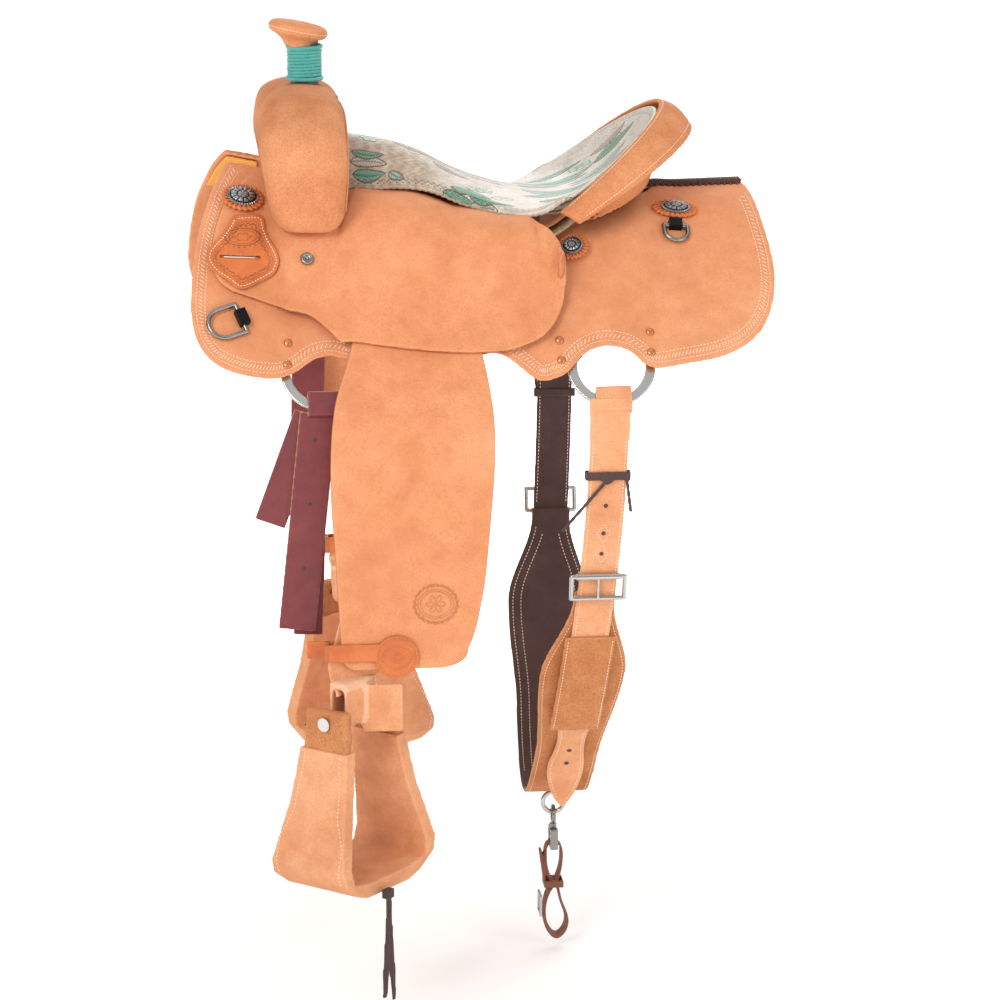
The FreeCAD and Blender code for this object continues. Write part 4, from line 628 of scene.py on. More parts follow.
def jockey_low(x, y):
    lo, hi = 15.0, 40.0
    o = lo + (hi - lo) * (1 - smooth(128, 196, y))
    f = 1 - smooth(-262, -222, x)
    mid = 26.0 - (26 - lo) * smooth(150, 205, y)
    g = 1 - smooth(-150, -100, x)
    o = o * (1 - g) + mid * g
    return o * (1 - f) + 8.0 * f if x > -300 else 8.0


JT = 4.5
SKIRT = [(-303.8, 74), (-319.7, 52.0), (-329, 31.8), (-337, 12.2), (-343.3, -9.4), (-348.4, -35.4), (-351.8, -64.7),
         (-353.0, -84.3), (-351.3, -103.9), (-346.4, -121.4), (-336.1, -137.2), (-321.4, -149.2), (-297.9, -159.2), (-272.2, -165.2),
         (-250.7, -167.1), (-233.1, -163.7), (-219.9, -157.1), (-206.4, -148.5), (-193.2, -144.9), (-180.2, -144.7), (-167.3, -148.1),
         (-134.7, -153.0), (-88.4, -153.7), (-39.5, -152.3), (-2.4, -146.3), (24.2, -145.9), (37.0, -152.9), (49.7, -162.6),
         (64.9, -173.6), (75, -176.1), (86.1, -173.9), (99.8, -169.4), (108.1, -163.5), (116.9, -154.2), (128.1, -145.9),
         (141.7, -140.0), (157.8, -138.1), (176.2, -141.3), (188.6, -148.4), (198.4, -157.7), (209.0, -161.9), (224, -161.5),
         (248.8, -158.1), (284.0, -152.9), (309.3, -146.3), (329.3, -137.2), (347.2, -123.5), (360.4, -104.9), (368.4, -86.0),
         (372.1, -64.7), (371.1, -36.0), (366.2, -7.8), (361.1, 17.2), (356, 30)]
KEEPER = [(-298.6, 16), (-303.7, 8), (-312, -2), (-321.4, -10), (-330, -20), (-331.5, -31.4), (-322.5, -44.0), (-306, -55), (-292.8, -64), (-279, -61.5),
          (-265.7, -56.2), (-251.0, -49.0), (-244.6, -38), (-244, -30), (-247.8, -20), (-255, -8), (-259.5, 4), (-261.8, 15), (-268, 18), (-280, 18.5), (-291, 18)]
FENDER = [(-152.2, -150), (-159.5, -156), (-168.4, -171), (-177.5, -192.0), (-183.5, -216), (-186.9, -245.2), (-188.1, -280.5), (-187.4, -321.9),
          (-184.4, -363.4), (-182.3, -405.4), (-179.9, -447.6), (-177.5, -490.0), (-174, -509), (-160, -517.0), (-135, -519.6), (-100.0, -520.1), (-77.8, -521.0),
          (-58.5, -519.8), (-39.3, -513.9), (-25.5, -498.8), (-15.7, -474.5), (-8.9, -443.5), (-3.3, -409.8), (0.9, -367.7), (4.6, -326.1),
          (7.9, -284.6), (9.6, -246), (8.9, -215), (5.8, -188.0), (1, -166), (-4, -152)]


def dense(poly, step=2.0, closed=False):
    """Catmull-Rom points through a 2-D line at an even step"""
    P = [np.array(p, float) for p in poly]
    n = len(P)
    out = []
    for i in range(n if closed else n - 1):
        p0 = P[(i - 1) % n] if closed or i > 0 else P[0]
        p1, p2 = P[i], P[(i + 1) % n]
        p3 = P[(i + 2) % n] if closed or i + 2 < n else P[-1]
        k = max(2, int(np.linalg.norm(p2 - p1) / step))
        for j in range(k):
            t = j / k
            out.append(0.5 * ((2 * p1) + (p2 - p0) * t + (2 * p0 - 5 * p1 + 4 * p2 - p3) * t * t + (3 * p1 - p0 - 3 * p2 + p3) * t ** 3))
    return np.array(out)


def inset(P, d, closed=False, side=1):
    """moves a line sideways by d"""
    T = (np.roll(P, -3, 0) - np.roll(P, 3, 0)) if closed else np.gradient(P, axis=0)
    if not closed:
        T = np.stack([np.convolve(np.pad(T[:, k], 3, mode="edge"), np.ones(7) / 7, "valid") for k in range(2)], 1)
    T /= np.linalg.norm(T, axis=1)[:, None] + 1e-9
    N = np.stack([-T[:, 1], T[:, 0]], 1) * side
    return P + N * d


def project(bv, XZ, side=-1, keep_if=None):
    """world points of a side-view line on the outside of a mesh; side -1 is the near side"""
    runs, pts, nr = [], [], []
    for x, z in XZ:
        hit = bv.ray_cast(Vector((x * MM, side * 0.6, z * MM)), Vector((0, -side, 0)), 0.62)
        ok = hit[0] is not None and (hit[0].y * side > 0)
        if ok and pts and (hit[0] - Vector(pts[-1])).length > 0.012:
            ok = False
        if ok:
            pts.append(tuple(hit[0]))
            nr.append(tuple(hit[1]))
        elif hit[0] is None or len(pts) > 3:
            if len(pts) > 4:
                runs.append((pts, nr))
            pts, nr = [], []
    if len(pts) > 4:
        runs.append((pts, nr))
    return runs

# ------------------------------------------------------------------ leather sheets of the saddle
sk_l = soft("skirt_left_leather", ["skirt_left"], "saddle", SKIRTM, 2.1, 4, 6.0)
sk_r = soft("skirt_right_leather", ["skirt_right"], "saddle", SKIRTM, 2.1, 4, 6.0)
REAR = [(10, -143), (23.1, -141.6), (50.0, -136.4), (71.9, -125.9), (88.9, -111.7), (99.5, -93.8), (104.8, -77.0), (107.4, -57.6), (107.6, -40.9), (105.6, -27.4), (99, -12), (88, 0.0), (72, 8.0), (60, 11)]


def jockey_extra(o):
    co_ = coords(o)
    X, Z = co_[:, 0] / MM, co_[:, 2] / MM
    ang, r = np.arctan2(Z + 60, X - 30), np.hypot(Z + 60, X - 30)
    rp = dense(REAR, 2.0)
    ta, tr = np.arctan2(rp[:, 1] + 60, rp[:, 0] - 30), np.hypot(rp[:, 1] + 60, rp[:, 0] - 30)
    od = np.argsort(ta)
    sel = (X > 40) & (np.abs(ang) < 1.25)
    bins = np.linspace(-1.3, 1.3, 75)
    idx = np.clip(np.digitize(ang, bins), 1, 74)
    edge_r = np.full(75, np.nan)
    for k in range(1, 75):
        m = sel & (idx == k)
        if m.any():
            edge_r[k] = r[m].max()
    ok = ~np.isnan(edge_r)
    mid_b = (np.concatenate(([bins[0]], bins[:-1])) + np.concatenate(([bins[0]], bins[1:]))) / 2
    er = np.interp(ang, mid_b[ok], edge_r[ok])
    tg_ = np.interp(ang, ta[od], tr[od])
    q = np.clip((r / er - 0.34) / 0.62, 0, 1)
    q = q * q * (3 - 2 * q) * np.clip((X - 40) / 22, 0, 1) * np.clip((1.25 - np.abs(ang)) / 0.25, 0, 1)
    f = 1 + (tg_ / er - 1) * np.where(sel, q, 0)
    f = np.clip(f, 0.86, 1.12)
    nx, nz_ = 30 + (X - 30) * f, -60 + (Z + 60) * f
    dz = nz_ - Z
    co_[:, 0], co_[:, 2] = nx * MM, nz_ * MM
    co_[:, 1] += np.sign(co_[:, 1]) * (-dz * 0.42) * MM
    o.data.vertices.foreach_set("co", co_.ravel())
    o.data.update()


jk = soft("seat_jockey_leather", ["seat_jockeys"], "saddle", ROUGH, 2.0, 3, 4.5, extra=jockey_extra)


def fleece_extra(o):
    co, no = coords(o), normals(o)
    h = np.zeros(len(co))
    for f, a in ((210.0, 1.0), (430.0, 0.7), (900.0, 0.5)):
        ph = rng.uniform(0, 6.28, 6)
        v = np.sin(co[:, 0] * f + ph[0] + 2 * np.sin(co[:, 1] * f * 0.7 + ph[1])) * np.sin(co[:, 1] * f * 1.1 + ph[2] + 1.5 * np.sin(co[:, 2] * f * 0.8 + ph[3])) * np.sin(co[:, 2] * f + ph[4])
        h += a * v
    co = co + no * (0.0009 * h + 0.0006)[:, None]
    lo_x = -0.262
    m_ = co[:, 0] < lo_x
    co[m_, 0] = lo_x + (co[m_, 0] - lo_x) * 0.82
    o.data.vertices.foreach_set("co", co.ravel())
    o.data.update()


soft("fleece_pile", ["fleece_linings"], "saddle", FLEECE, 3.2, 1, extra=fleece_extra)
soft("front_lining_gold", ["front_linings"], "saddle", GOLD, 1.8, 1, 3.5)
soft("ground_seat_leather", ["ground_seat"], "saddle", GROUND, 2.2, 1, 4.5)
soft("seat_pad_felt", ["seat_pad"], "saddle", FOAM, 2.6, 2)
soft("tree_bar_wood", ["tree_bars"], "saddle", WOOD, 3.0, 2)
soft("tree_cantle_wood", ["tree_cantle"], "saddle", WOOD, 2.6, 2)
soft("tree_fork_wood", ["tree_fork"], "saddle", WOOD, 3.0, 2)
cb = soft("cantle_back_leather", ["cantle_back"], "saddle", CANTM, 2.0, 3, 5.0)
cr = soft("cantle_roll_leather", ["cantle_roll"], "saddle", CANTM, 1.9, 4, puff=0.4)

# ------------------------------------------------------------------ swell cover, padded over the fork
ARCH = [(-6, 177, 163), (-3, 182, 152), (1, 184, 142), (8, 185, 133), (16, 184, 126), (33, 187, 107), (50, 181, 88), (68, 159, 80), (90, 146, 79)]
FRONT = [(-6, -233, -176), (-3, -246, -167), (1, -252, -162), (8, -257, -159), (16, -260, -157), (33, -265, -156), (50, -265, -157), (68, -261, -159), (90, -251, -161)]


def arch_rows(grow=0.0, nk=91, n=48):
    A = [(a, r, q) for a, r, q in ARCH] + [(180 - a, r, q) for a, r, q in reversed(ARCH[:-1])]
    F = [(a, r, q) for a, r, q in FRONT] + [(180 - a, r, q) for a, r, q in reversed(FRONT[:-1])]
    rows = []
    for i in range(nk):
        ang = -6 + 192.0 * i / (nk - 1)
        ro = catmull([(a, r) for a, r, q in A], ang) + grow
        ri = catmull([(a, q) for a, r, q in A], ang) - grow
        xf = catmull([(a, r) for a, r, q in F], ang) - grow
        xr = catmull([(a, q) for a, r, q in F], ang) + grow
        cx, c_r, hx, hr = (xf + xr) / 2, (ro + ri) / 2, (xr - xf) / 2, (ro - ri) / 2
        row = []
        for j in range(n):
            t = 2 * math.pi * j / n
            c, s_ = math.cos(t), math.sin(t)
            ex = 2 / 2.5
            px = cx + hx * math.copysign(abs(c) ** ex, c)
            pr = c_r + hr * math.copysign(abs(s_) ** ex, s_)
            w = math.radians(ang)
            row.append(np.array((px, -pr * math.cos(w), 18.0 + pr * math.sin(w))) * MM)
        rows.append(row)
    return np.array(rows)


R = arch_rows()
nk, nn = R.shape[:2]
V_ = list(R.reshape(-1, 3))
F_ = [(i * nn + j, (i + 1) * nn + j, (i + 1) * nn + (j + 1) % nn, i * nn + (j + 1) % nn) for i in range(nk - 1) for j in range(nn)]
F_.append(tuple(range(nn)))
F_.append(tuple(range((nk - 1) * nn, nk * nn))[::-1])
sw = make("swell_cover_leather", V_, F_, SWELLM)
r_ = sw.modifiers.new("r", "REMESH")
r_.mode = "VOXEL"
r_.voxel_size = 0.0024
apply_mods(sw)
laplace(sw, 6, 0.5)
# hand-worked surface: slight hollows and pulls of the stretched leather
co, no = coords(sw), normals(sw)
h = 0.0006 * np.sin(co[:, 1] * 46 + 1.3 * np.sin(co[:, 0] * 60)) * np.sin(co[:, 2] * 52 + 0.6) + 0.0004 * np.sin(co[:, 0] * 120 + co[:, 2] * 90)
# painted shade: darker over the top and in wavy crease-like patches, stored in the ink attribute
swell_painted_shade = 0.20 * np.clip((co[:, 2] - 0.075) / 0.07, 0, 1) + 0.10 * np.clip(np.sin(co[:, 1] * 31 + 3 * np.sin(co[:, 2] * 23)) * np.sin(co[:, 0] * 40 + co[:, 2] * 30), 0, 1)
set_attr(sw, "ink", swell_painted_shade)
sw.data.vertices.foreach_set("co", (co + no * h[:, None]).ravel())
sw.data.update()
sw.data.materials.clear()
sw.data.materials.append(SWELLM)
sw.data.polygons.foreach_set("use_smooth", [True] * len(sw.data.polygons))
finish_piece(sw, "saddle", ["swell_cover"])
# welt along the rear edge of the swell cover; points for its folded lip are gathered but not built
welt = Bag()
W0 = arch_rows(0.6)
j_rear, j_low = 0, 43
for jj, rr in ((2, 0.0011),):
    welt.tube([W0[i][jj] for i in range(4, nk - 4)], rr, 6)
lip = []
for i in range(0, 30):
    lip.append(W0[i][(nn // 2) + 2])
w_obj = welt.obj("swell_welt", BRUSH)
finish_piece(w_obj, "saddle", ())

# ------------------------------------------------------------------ horn: neck, padded cap, cord wrap
HX, HB = -203.0, 150.0
tilt = math.radians(11.0)
nrm = Vector((math.sin(tilt), 0, math.cos(tilt)))
capc = Vector((HX - 8, 0, HB + 80))
prof = [(0.0, 11.6), (10, 11.5), (20, 11.0), (28, 10.0), (33.5, 8.4), (36.6, 5.6), (37.6, 2.0), (37.2, -1.6), (35.0, -4.6), (30.5, -6.2), (26, -8.2), (22.6, -11.5), (20.6, -16.0), (19.6, -22.0)]
K = 96
vs, fs = [], []
xd = Vector((math.cos(tilt), 0, -math.sin(tilt)))
for r0, hh in prof:
    sft = smooth(-6, -22, hh) if hh < -6 else 0.0
    for k in range(K):
        a = 2 * math.pi * k / K
        wob = 1 + 0.012 * math.sin(3 * a + 1) + 0.008 * math.sin(5 * a)
        rx = r0 * wob * (1.0 if r0 < 25 else 1.0)
        p = capc + (xd * (rx * math.cos(a)) + Vector((0, rx * math.sin(a), 0))) * (1 if True else 0) + nrm * hh
        if hh < -6:
            q = smooth(6, 22, -hh)
            p = p + Vector(((HX - p.x + rx * math.cos(a)) * 0.6 * q, 0, 0))
        vs.append(p * MM)
for i in range(len(prof) - 1):
    for k in range(K):
        fs.append((i * K + k, (i + 1) * K + k, (i + 1) * K + (k + 1) % K, i * K + (k + 1) % K))
fs.append(tuple(range((len(prof) - 1) * K, len(prof) * K)))
cap = make("horn_cap_leather", vs, fs, SWELLM)
bpy.context.view_layer.update()
sd = cap.modifiers.new("s", "SUBSURF")
sd.levels = 1
apply_mods(cap)
finish_piece(cap, "saddle", ["horn_cap_cover"])
bg = Bag()
pts, nr = [], []
for k in range(181):
    a = 2 * math.pi * k / 180
    pts.append(np.array((capc + xd * (37.9 * math.cos(a)) + Vector((0, 37.9 * math.sin(a), 0)) + nrm * 1.2) * MM))
    nr.append(np.array(xd * math.cos(a) + Vector((0, math.sin(a), 0))))
bg.run(pts, nr, 4.6, 3.2, 0.5)
finish_piece(bg.obj("horn_cap_stitches", THREAD), "saddle", ())
bx0, bx1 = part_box("horn_wrap")
wz0, wz1 = bx0[2] / MM, bx1[2] / MM
cordb = Bag()
turns = 9
for strand in range(1):
    pts = []
    for k in range(turns * 48 + 1):
        a = 2 * math.pi * k / 48 + math.pi * strand
        z = wz0 + 2.3 + (wz1 - wz0 - 4.6) * k / (turns * 48)
        rr = 19.8 + 0.25 * math.sin(a * 3.1)
        pts.append(np.array((HX + rr * math.cos(a), rr * math.sin(a), z)) * MM)
    cordb.tube(pts, 0.0021, 10)
    # the ply of the cord
    ply = []
    for k in range(turns * 48 * 3 + 1):
        a = 2 * math.pi * k / 144 + math.pi * strand
        z = wz0 + 2.3 + (wz1 - wz0 - 4.6) * k / (turns * 144)
        b = k * 0.42
        rr = 19.8 + 1.85 * math.cos(b)
        ply.append(np.array((HX + rr * math.cos(a), rr * math.sin(a), z + 1.85 * math.sin(b))) * MM)
    cordb.tube(ply, 0.0006, 4)
for zz, rr in ((wz0 + 1.2, 21.4), (wz1 - 1.0, 20.8)):
    cordb.tube([np.array((HX + rr * math.cos(2 * math.pi * k / 64), rr * math.sin(2 * math.pi * k / 64), zz + 0.8 * math.sin(2 * math.pi * k / 64))) * MM for k in range(64)], 0.0026, 8, True)
cordb.tube([np.array((HX + 0.01 * k, 0, wz0 + 1.0 + (wz1 - wz0 - 2.0) * k / 12.0)) * MM for k in range(13)], 0.0193, 40)
finish_piece(cordb.obj("horn_cord_wrap", CORD), "saddle", ["horn_wrap"])

# ------------------------------------------------------------------ seat: tooled leather with painted leaves
RIM_W = 158.0


def rim(y):
    a = 1 - math.sqrt(max(0.0, 1 - (y / RIM_W) ** 2))
    return 246 - 154 * a, 138 - 128 * a


SEAT_C = [(-155, 101), (-121, 95), (-96, 90), (-58, 76), (-20, 56), (18, 41), (57, 30), (95, 25), (260, 24)]
SEAT_E = [(-155, 52), (-120, 50), (-80, 51), (-45, 46), (0, 27), (40, 14), (92, 9), (260, 9)]
SEAT_W = [(0.0, 60), (0.22, 70), (0.42, 84), (0.63, 106), (0.83, 130), (1.0, 157)]


def seat_half(x):
    return catmull([(-152, 60), (-100, 70), (-50, 84), (0, 106), (50, 130), (92, 157), (260, 158)], x)


def seat_z(x, y):
    zc, ze, w = catmull(SEAT_C, x), catmull(SEAT_E, x), seat_half(x)
    q = min(1.0, abs(y) / w)
    base = zc - (zc - ze) * q ** 2.2
    xr, zr = rim(min(abs(y), RIM_W))
    d = (xr - x) / 150.0
    if d < 1:
        base = base + (zr - base) * (1 - max(d, 0)) ** 2.2
    return base


def seat_point(u, v, o):
    w = catmull(SEAT_W, u)
    x_end = rim(v * 157.0)[0]
    x = -152 + (x_end + 152) * u
    y = v * w
    e = 0.5
    n = Vector((-(seat_z(x + e, y) - seat_z(x - e, y)) / (2 * e), -(seat_z(x, y + e) - seat_z(x, y - e)) / (2 * e), 1.0)).normalized()
    return Vector((x, y, seat_z(x, y))) + n * o


def upsample(G, n, m):
    """smooth enlargement of a point grid"""
    G = np.asarray(G, float)

    def axis0(A, k):
        N = len(A)
        t = np.linspace(0, N - 1, k)
        i = np.minimum(t.astype(int), N - 2)
        f = (t - i)[:, None, None]
        P = np.concatenate((2 * A[:1] - A[1:2], A, 2 * A[-1:] - A[-2:-1]))
        p0, p1, p2, p3 = P[i], P[i + 1], P[i + 2], P[i + 3]
        return 0.5 * (2 * p1 + (p2 - p0) * f + (2 * p0 - 5 * p1 + 4 * p2 - p3) * f ** 2 + (3 * p1 - p0 - 3 * p2 + p3) * f ** 3)
    return axis0(axis0(G, n).transpose(1, 0, 2), m).transpose(1, 0, 2)


U1, VM = 0.985, 0.985
cg = [[seat_point(U1 * i / 60.0, -VM + 2 * VM * j / 48.0, 0.6) for j in range(49)] for i in range(61)]
cgb = [[seat_point(U1 * i / 60.0, -VM + 2 * VM * j / 48.0, -4.2) for j in range(49)] for i in range(61)]
FLAP = lambda u: 17.0 * (1 - smooth(0.45, 0.75, u)) + 7.0 * smooth(0.45, 0.75, u) * (1 - smooth(0.86, 1.0, u))
for G_ in (cg, cgb):
    for i in range(61):
        ext = FLAP(i / 60.0)
        lo_, hi_ = G_[i][0], G_[i][-1]
        G_[i] = [lo_ + Vector((0, -0.66, -0.75)) * (ext * k / 4.0) for k in (4, 3, 2, 1)] + G_[i] + [hi_ + Vector((0, 0.66, -0.75)) * (ext * k / 4.0) for k in (1, 2, 3, 4)]
NU, NV = ((440, 350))
GT, GB = upsample(cg, NU, NV), upsample(cgb, NU, NV)
# flat map of the seat in mm: length along the middle, width from it
du = np.linalg.norm(np.diff(GT[:, NV // 2], axis=0), axis=1)
S = np.concatenate(([0], np.cumsum(du)))[:, None] * np.ones((1, NV))
dw = np.linalg.norm(np.diff(GT, axis=1), axis=2)
Wd = np.concatenate((np.zeros((NU, 1)), np.cumsum(dw, axis=1)), 1)
Wd = Wd - Wd[:, NV // 2][:, None]
half = np.abs(Wd[:, -1])[:, None]
LTOT = S[-1, 0]
CREAM, WHITE, TAUPE = np.array(lin(206, 192, 172)[:3]), np.array(lin(232, 228, 220)[:3]), np.array(lin(148, 118, 92)[:3])
GREEN, GREEN2, BROWN = np.array(lin(84, 172, 136)[:3]), np.array(lin(150, 204, 176)[:3]), np.array(lin(58, 40, 34)[:3])
nz = np.sin(S * 0.11 + 2 * np.sin(Wd * 0.07)) * np.sin(Wd * 0.13 + 1.1) * 0.5 + 0.5
nz2 = np.sin(S * 0.37 + 1.7 * np.sin(Wd * 0.31)) * np.sin(Wd * 0.41 + 0.4) * 0.5 + 0.5
front = 1 - np.clip((S - 110) / 120.0, 0, 1)
C = CREAM * (1 - nz[..., None] * 0.5) + TAUPE * (nz[..., None] * 0.5)
C = C * (1 - 0.55 * (1 - front[..., None])) + WHITE * (0.55 * (1 - front[..., None]))
C = C * (1 - 0.65 * front[..., None] * nz2[..., None]) + TAUPE * (0.65 * front[..., None] * nz2[..., None])
H = np.zeros_like(S)


def ink(mask, amount=1.0, depth=0.45):
    global C, H
    a = (np.clip(mask, 0, 1) * amount)[..., None]
    C = C * (1 - a) + BROWN * a
    H = H - np.clip(mask, 0, 1) * depth


def soft_line(d, w):
    return np.clip(1 - np.abs(d) / w, 0, 1) ** 0.6


def leaf(p0, p1, width, bend, colour, strength=0.85, veins=6.0, tip=0.25, curl=1.0):
    """a pointed leaf with a middle vein and side veins, drawn on both sides of the seat"""
    global C, H
    for sgn in (-1, 1):
        a = np.array((p0[0], p0[1] * sgn))
        b = np.array((p1[0], p1[1] * sgn))
        d = b - a
        L = np.linalg.norm(d)
        d = d / L
        nrm_ = np.array((-d[1], d[0])) * sgn
        px, py = S - a[0], Wd - a[1]
        t = (px * d[0] + py * d[1]) / L
        q = px * nrm_[0] + py * nrm_[1] - bend * np.sin(np.clip(t, 0, 1) * math.pi)
        pr = width * np.sin(np.clip(t, 0, 1) ** 0.8 * math.pi) ** 0.75
        inside = (t > 0) & (t < 1) & (np.abs(q) < pr)
        e = pr - np.abs(q)
        f = np.clip(e / (width * 0.7), 0, 1)
        m = (inside * strength)[..., None]
        shade = (colour * (0.7 + 0.3 * f[..., None]) + WHITE * tip * (1 - f[..., None]) * 0.8)
        C = C * (1 - m) + shade * m
        H = H + inside * (0.35 + 0.35 * f)
        near = (t > -0.02) & (t < 1.02)
        ink(soft_line(pr - np.abs(q), 1.7) * near * (np.abs(q) < pr + 1.3), 0.95)
        ink(soft_line(q, 1.3) * inside * (t < 0.9), 0.9)
        ph = (t * L - np.abs(q) * curl * 1.1) / veins
        w = np.abs(ph - np.round(ph)) * veins
        ink(soft_line(w, 1.15) * inside * (np.abs(q) > 1.0) * (e > 1.2), 0.85, 0.3)


def scroll(cx, cy, r, turns=1.4, start=0.0, colour=None):
    global C, H
    for sgn in (-1, 1):
        x, y = S - cx, (Wd - cy * sgn) * sgn
        rr = np.hypot(x, y)
        th = np.arctan2(y, x) - start
        k = rr / r * turns - (th / (2 * math.pi)) % 1.0
        w = np.abs(k - np.round(k)) * r / turns
        m = soft_line(w, 1.0) * (rr < r) * (rr > r * 0.12)
        if colour is not None:
            mm = ((rr < r * 0.96) * 0.7)[..., None]
            C = C * (1 - mm) + colour * mm
        ink(m, 0.9)


def flower(cx, cy, r, petals=6, colour=GREEN2):
    global C, H
    for sgn in (-1, 1):
        x, y = S - cx, (Wd - cy * sgn) * sgn
        rr, th = np.hypot(x, y), np.arctan2(y, x)
        pr = r * (0.72 + 0.28 * np.abs(np.cos(th * petals / 2)))
        ins = rr < pr
        m = (ins * 0.85)[..., None]
        C = C * (1 - m) + (colour * (0.6 + 0.4 * (rr / r)[..., None]) + WHITE * 0.15) * m
        H = H + ins * 0.5
        ink(soft_line(rr - pr, 1.2), 0.95)
        a = np.abs(((th * petals / (2 * math.pi)) % 1.0) - 0.5) * rr * 2 * math.pi / petals
        ink(soft_line((0.5 - np.abs(((th * petals / (2 * math.pi) + 0.5) % 1.0) - 0.5)) * rr * 2 * math.pi / petals, 0.8) * ins * (rr > r * 0.3), 0.8)
        ink(soft_line(rr - r * 0.26, 1.1), 0.95)
        mm = ((rr < r * 0.24) * 0.9)[..., None]
        C = C * (1 - mm) + CREAM * mm


e_side = half - np.abs(Wd)             # distance from the side edge
hs = float(half[int(NU * 0.05), 0])
# front panel beside the fork
leaf((8, hs - 20), (64, hs - 19), 9.5, 3, GREEN, 0.95, 5.0)
leaf((4, hs - 37), (58, hs - 34), 8.5, -3, CREAM, 0.9, 4.2, 0.4)
leaf((6, hs - 52), (50, hs - 50), 6.5, 3, GREEN, 0.8, 4.2)
leaf((70, hs - 22), (104, hs - 8), 6.0, 2, GREEN2, 0.7, 4.5)
flower(30, 10, 13, 6, GREEN2)
scroll(92, 22, 12, 1.5, 1.0)
leaf((60, 8), (118, 14), 6.0, 3, TAUPE, 0.6, 5.5)
leaf((118, 30), (172, 44), 7.5, 4, TAUPE, 0.5, 6.0)
# waist and the panel in front of the cantle
wh = float(half[int(NU * 0.5), 0])
leaf((178, wh - 14), (232, wh + 6), 12, 4, GREEN, 0.95, 4.6)
leaf((190, wh - 34), (246, wh - 14), 11, 4, GREEN, 0.85, 4.6)
leaf((222, wh + 14), (276, wh + 22), 11, -4, CREAM, 0.85, 4.2, 0.4)
leaf((228, wh - 6), (286, wh + 4), 10, 3, GREEN, 0.95, 4.6)
flower(206, wh - 52, 14, 7, GREEN2)
scroll(248, wh - 34, 15, 1.6, 0.6)
# dish up to the rim of the cantle
leaf((236, 18), (330, 30), 13, 8, GREEN, 0.6, 6.0)
leaf((250, 62), (352, 52), 13, -9, GREEN, 0.75, 6.0)
leaf((286, 92), (366, 98), 12, 8, GREEN, 0.8, 5.6)
leaf((300, 8), (392, 20), 11, -6, GREEN2, 0.5, 6.5)
leaf((352, 48), (424, 44), 12, 6, GREEN, 0.75, 5.6)
leaf((372, 84), (430, 76), 10, -5, CREAM, 0.7, 5.0, 0.4)
flower(346, 74, 15, 6, GREEN2)
scroll(318, 48, 13, 1.5, 2.0)
scroll(402, 62, 12, 1.5, 0.3)
leaf((140, 4), (214, 10), 8, 4, WHITE, 0.5, 7.0)
# scalloped border with a row of dark dots along the outer edges
sc = 8.0
along = np.concatenate((np.zeros((1, NV)), np.cumsum(np.linalg.norm(np.diff(GT, axis=0), axis=2), axis=0)))
cell = along / sc
loc = (cell - np.floor(cell) - 0.5) * sc
bd = e_side
dot = np.hypot(loc, bd - 6.0)
ink(np.clip(1.6 - dot, 0, 1) * (S < LTOT - 14), 0.95, 0.6)
ink(soft_line(bd - (10.5 + 1.8 * np.cos(loc / sc * 2 * math.pi)), 1.0) * (S < LTOT - 14), 0.85)
ink(soft_line(bd - 2.6, 0.7), 0.55, 0.3)
re = LTOT - S
dot = np.hypot((np.abs(Wd) / sc - np.floor(np.abs(Wd) / sc) - 0.5) * sc, re - 6.0)
ink(np.clip(1.5 - dot, 0, 1), 0.8, 0.5)
ink(soft_line(re - 10.5, 1.0), 0.75)
# stippled ground between the leaves
st = np.sin(S * 2.1 + 0.8 * np.sin(Wd * 1.7)) * np.sin(Wd * 2.3 + 0.7 * np.sin(S * 1.9))
ink((st > 0.8) * (np.abs(H) < 0.05) * 1.0, 0.45, 0.15)
# fine sweeping lines of the background scrollwork
sw1 = np.sin(S * 0.62 + 3.2 * np.sin(Wd * 0.055 + 0.5) + 1.4 * np.sin(S * 0.045))
ink(np.clip(1 - np.abs(sw1) / 0.16, 0, 1) * (np.abs(H) < 0.05) * (e_side > 14), 0.42, 0.12)
sw2 = np.sin(Wd * 0.55 + 3.0 * np.sin(S * 0.06) + 1.2 * np.sin(Wd * 0.05))
ink(np.clip(1 - np.abs(sw2) / 0.14, 0, 1) * (np.abs(H) < 0.05) * (e_side > 14) * (sw1 > 0.2), 0.35, 0.12)
# scallops cut in the side edges
cut = np.clip(1 - e_side / 9.0, 0, 1)
NRM = np.cross(np.gradient(GT, axis=0), np.gradient(GT, axis=1))
NRM /= np.linalg.norm(NRM, axis=2)[..., None] + 1e-9
NRM *= np.sign(NRM[..., 2:3].mean())
inward = np.gradient(GT, axis=1)
inward /= np.linalg.norm(inward, axis=2)[..., None] + 1e-9
shift = -np.sign(Wd)[..., None] * inward * (cut * 1.1 * (1 + np.cos(loc / sc * 2 * math.pi)) * 0.5)[..., None]
GT2 = GT + NRM * (H * 0.5)[..., None] + shift
GB2 = GB + shift
seat = slab("seat_tooled_leather", GT2 * MM, GB2 * MM, SEATM)
ca = seat.data.color_attributes.new("tool", "FLOAT_COLOR", "POINT")
cols = np.ones((len(seat.data.vertices), 4))
cols[:, :3] = CREAM * 0.8
cols[:NU * NV, :3] = np.clip(C.reshape(-1, 3), 0, 1)
ca.data.foreach_set("color", cols.ravel().astype(np.float32))
finish_piece(seat, "saddle", ["seat_cover"])

# ------------------------------------------------------------------ cantle binding
def curves(tt):
    a = 1 - math.cos(math.pi / 2 * tt)
    s_ = math.sin(math.pi / 2 * tt)
    return Vector((246 - 150 * a, 157 * s_, 139 - 126 * a)), Vector((288 - 170 * a, 172 * s_, 107 - 106 * a))


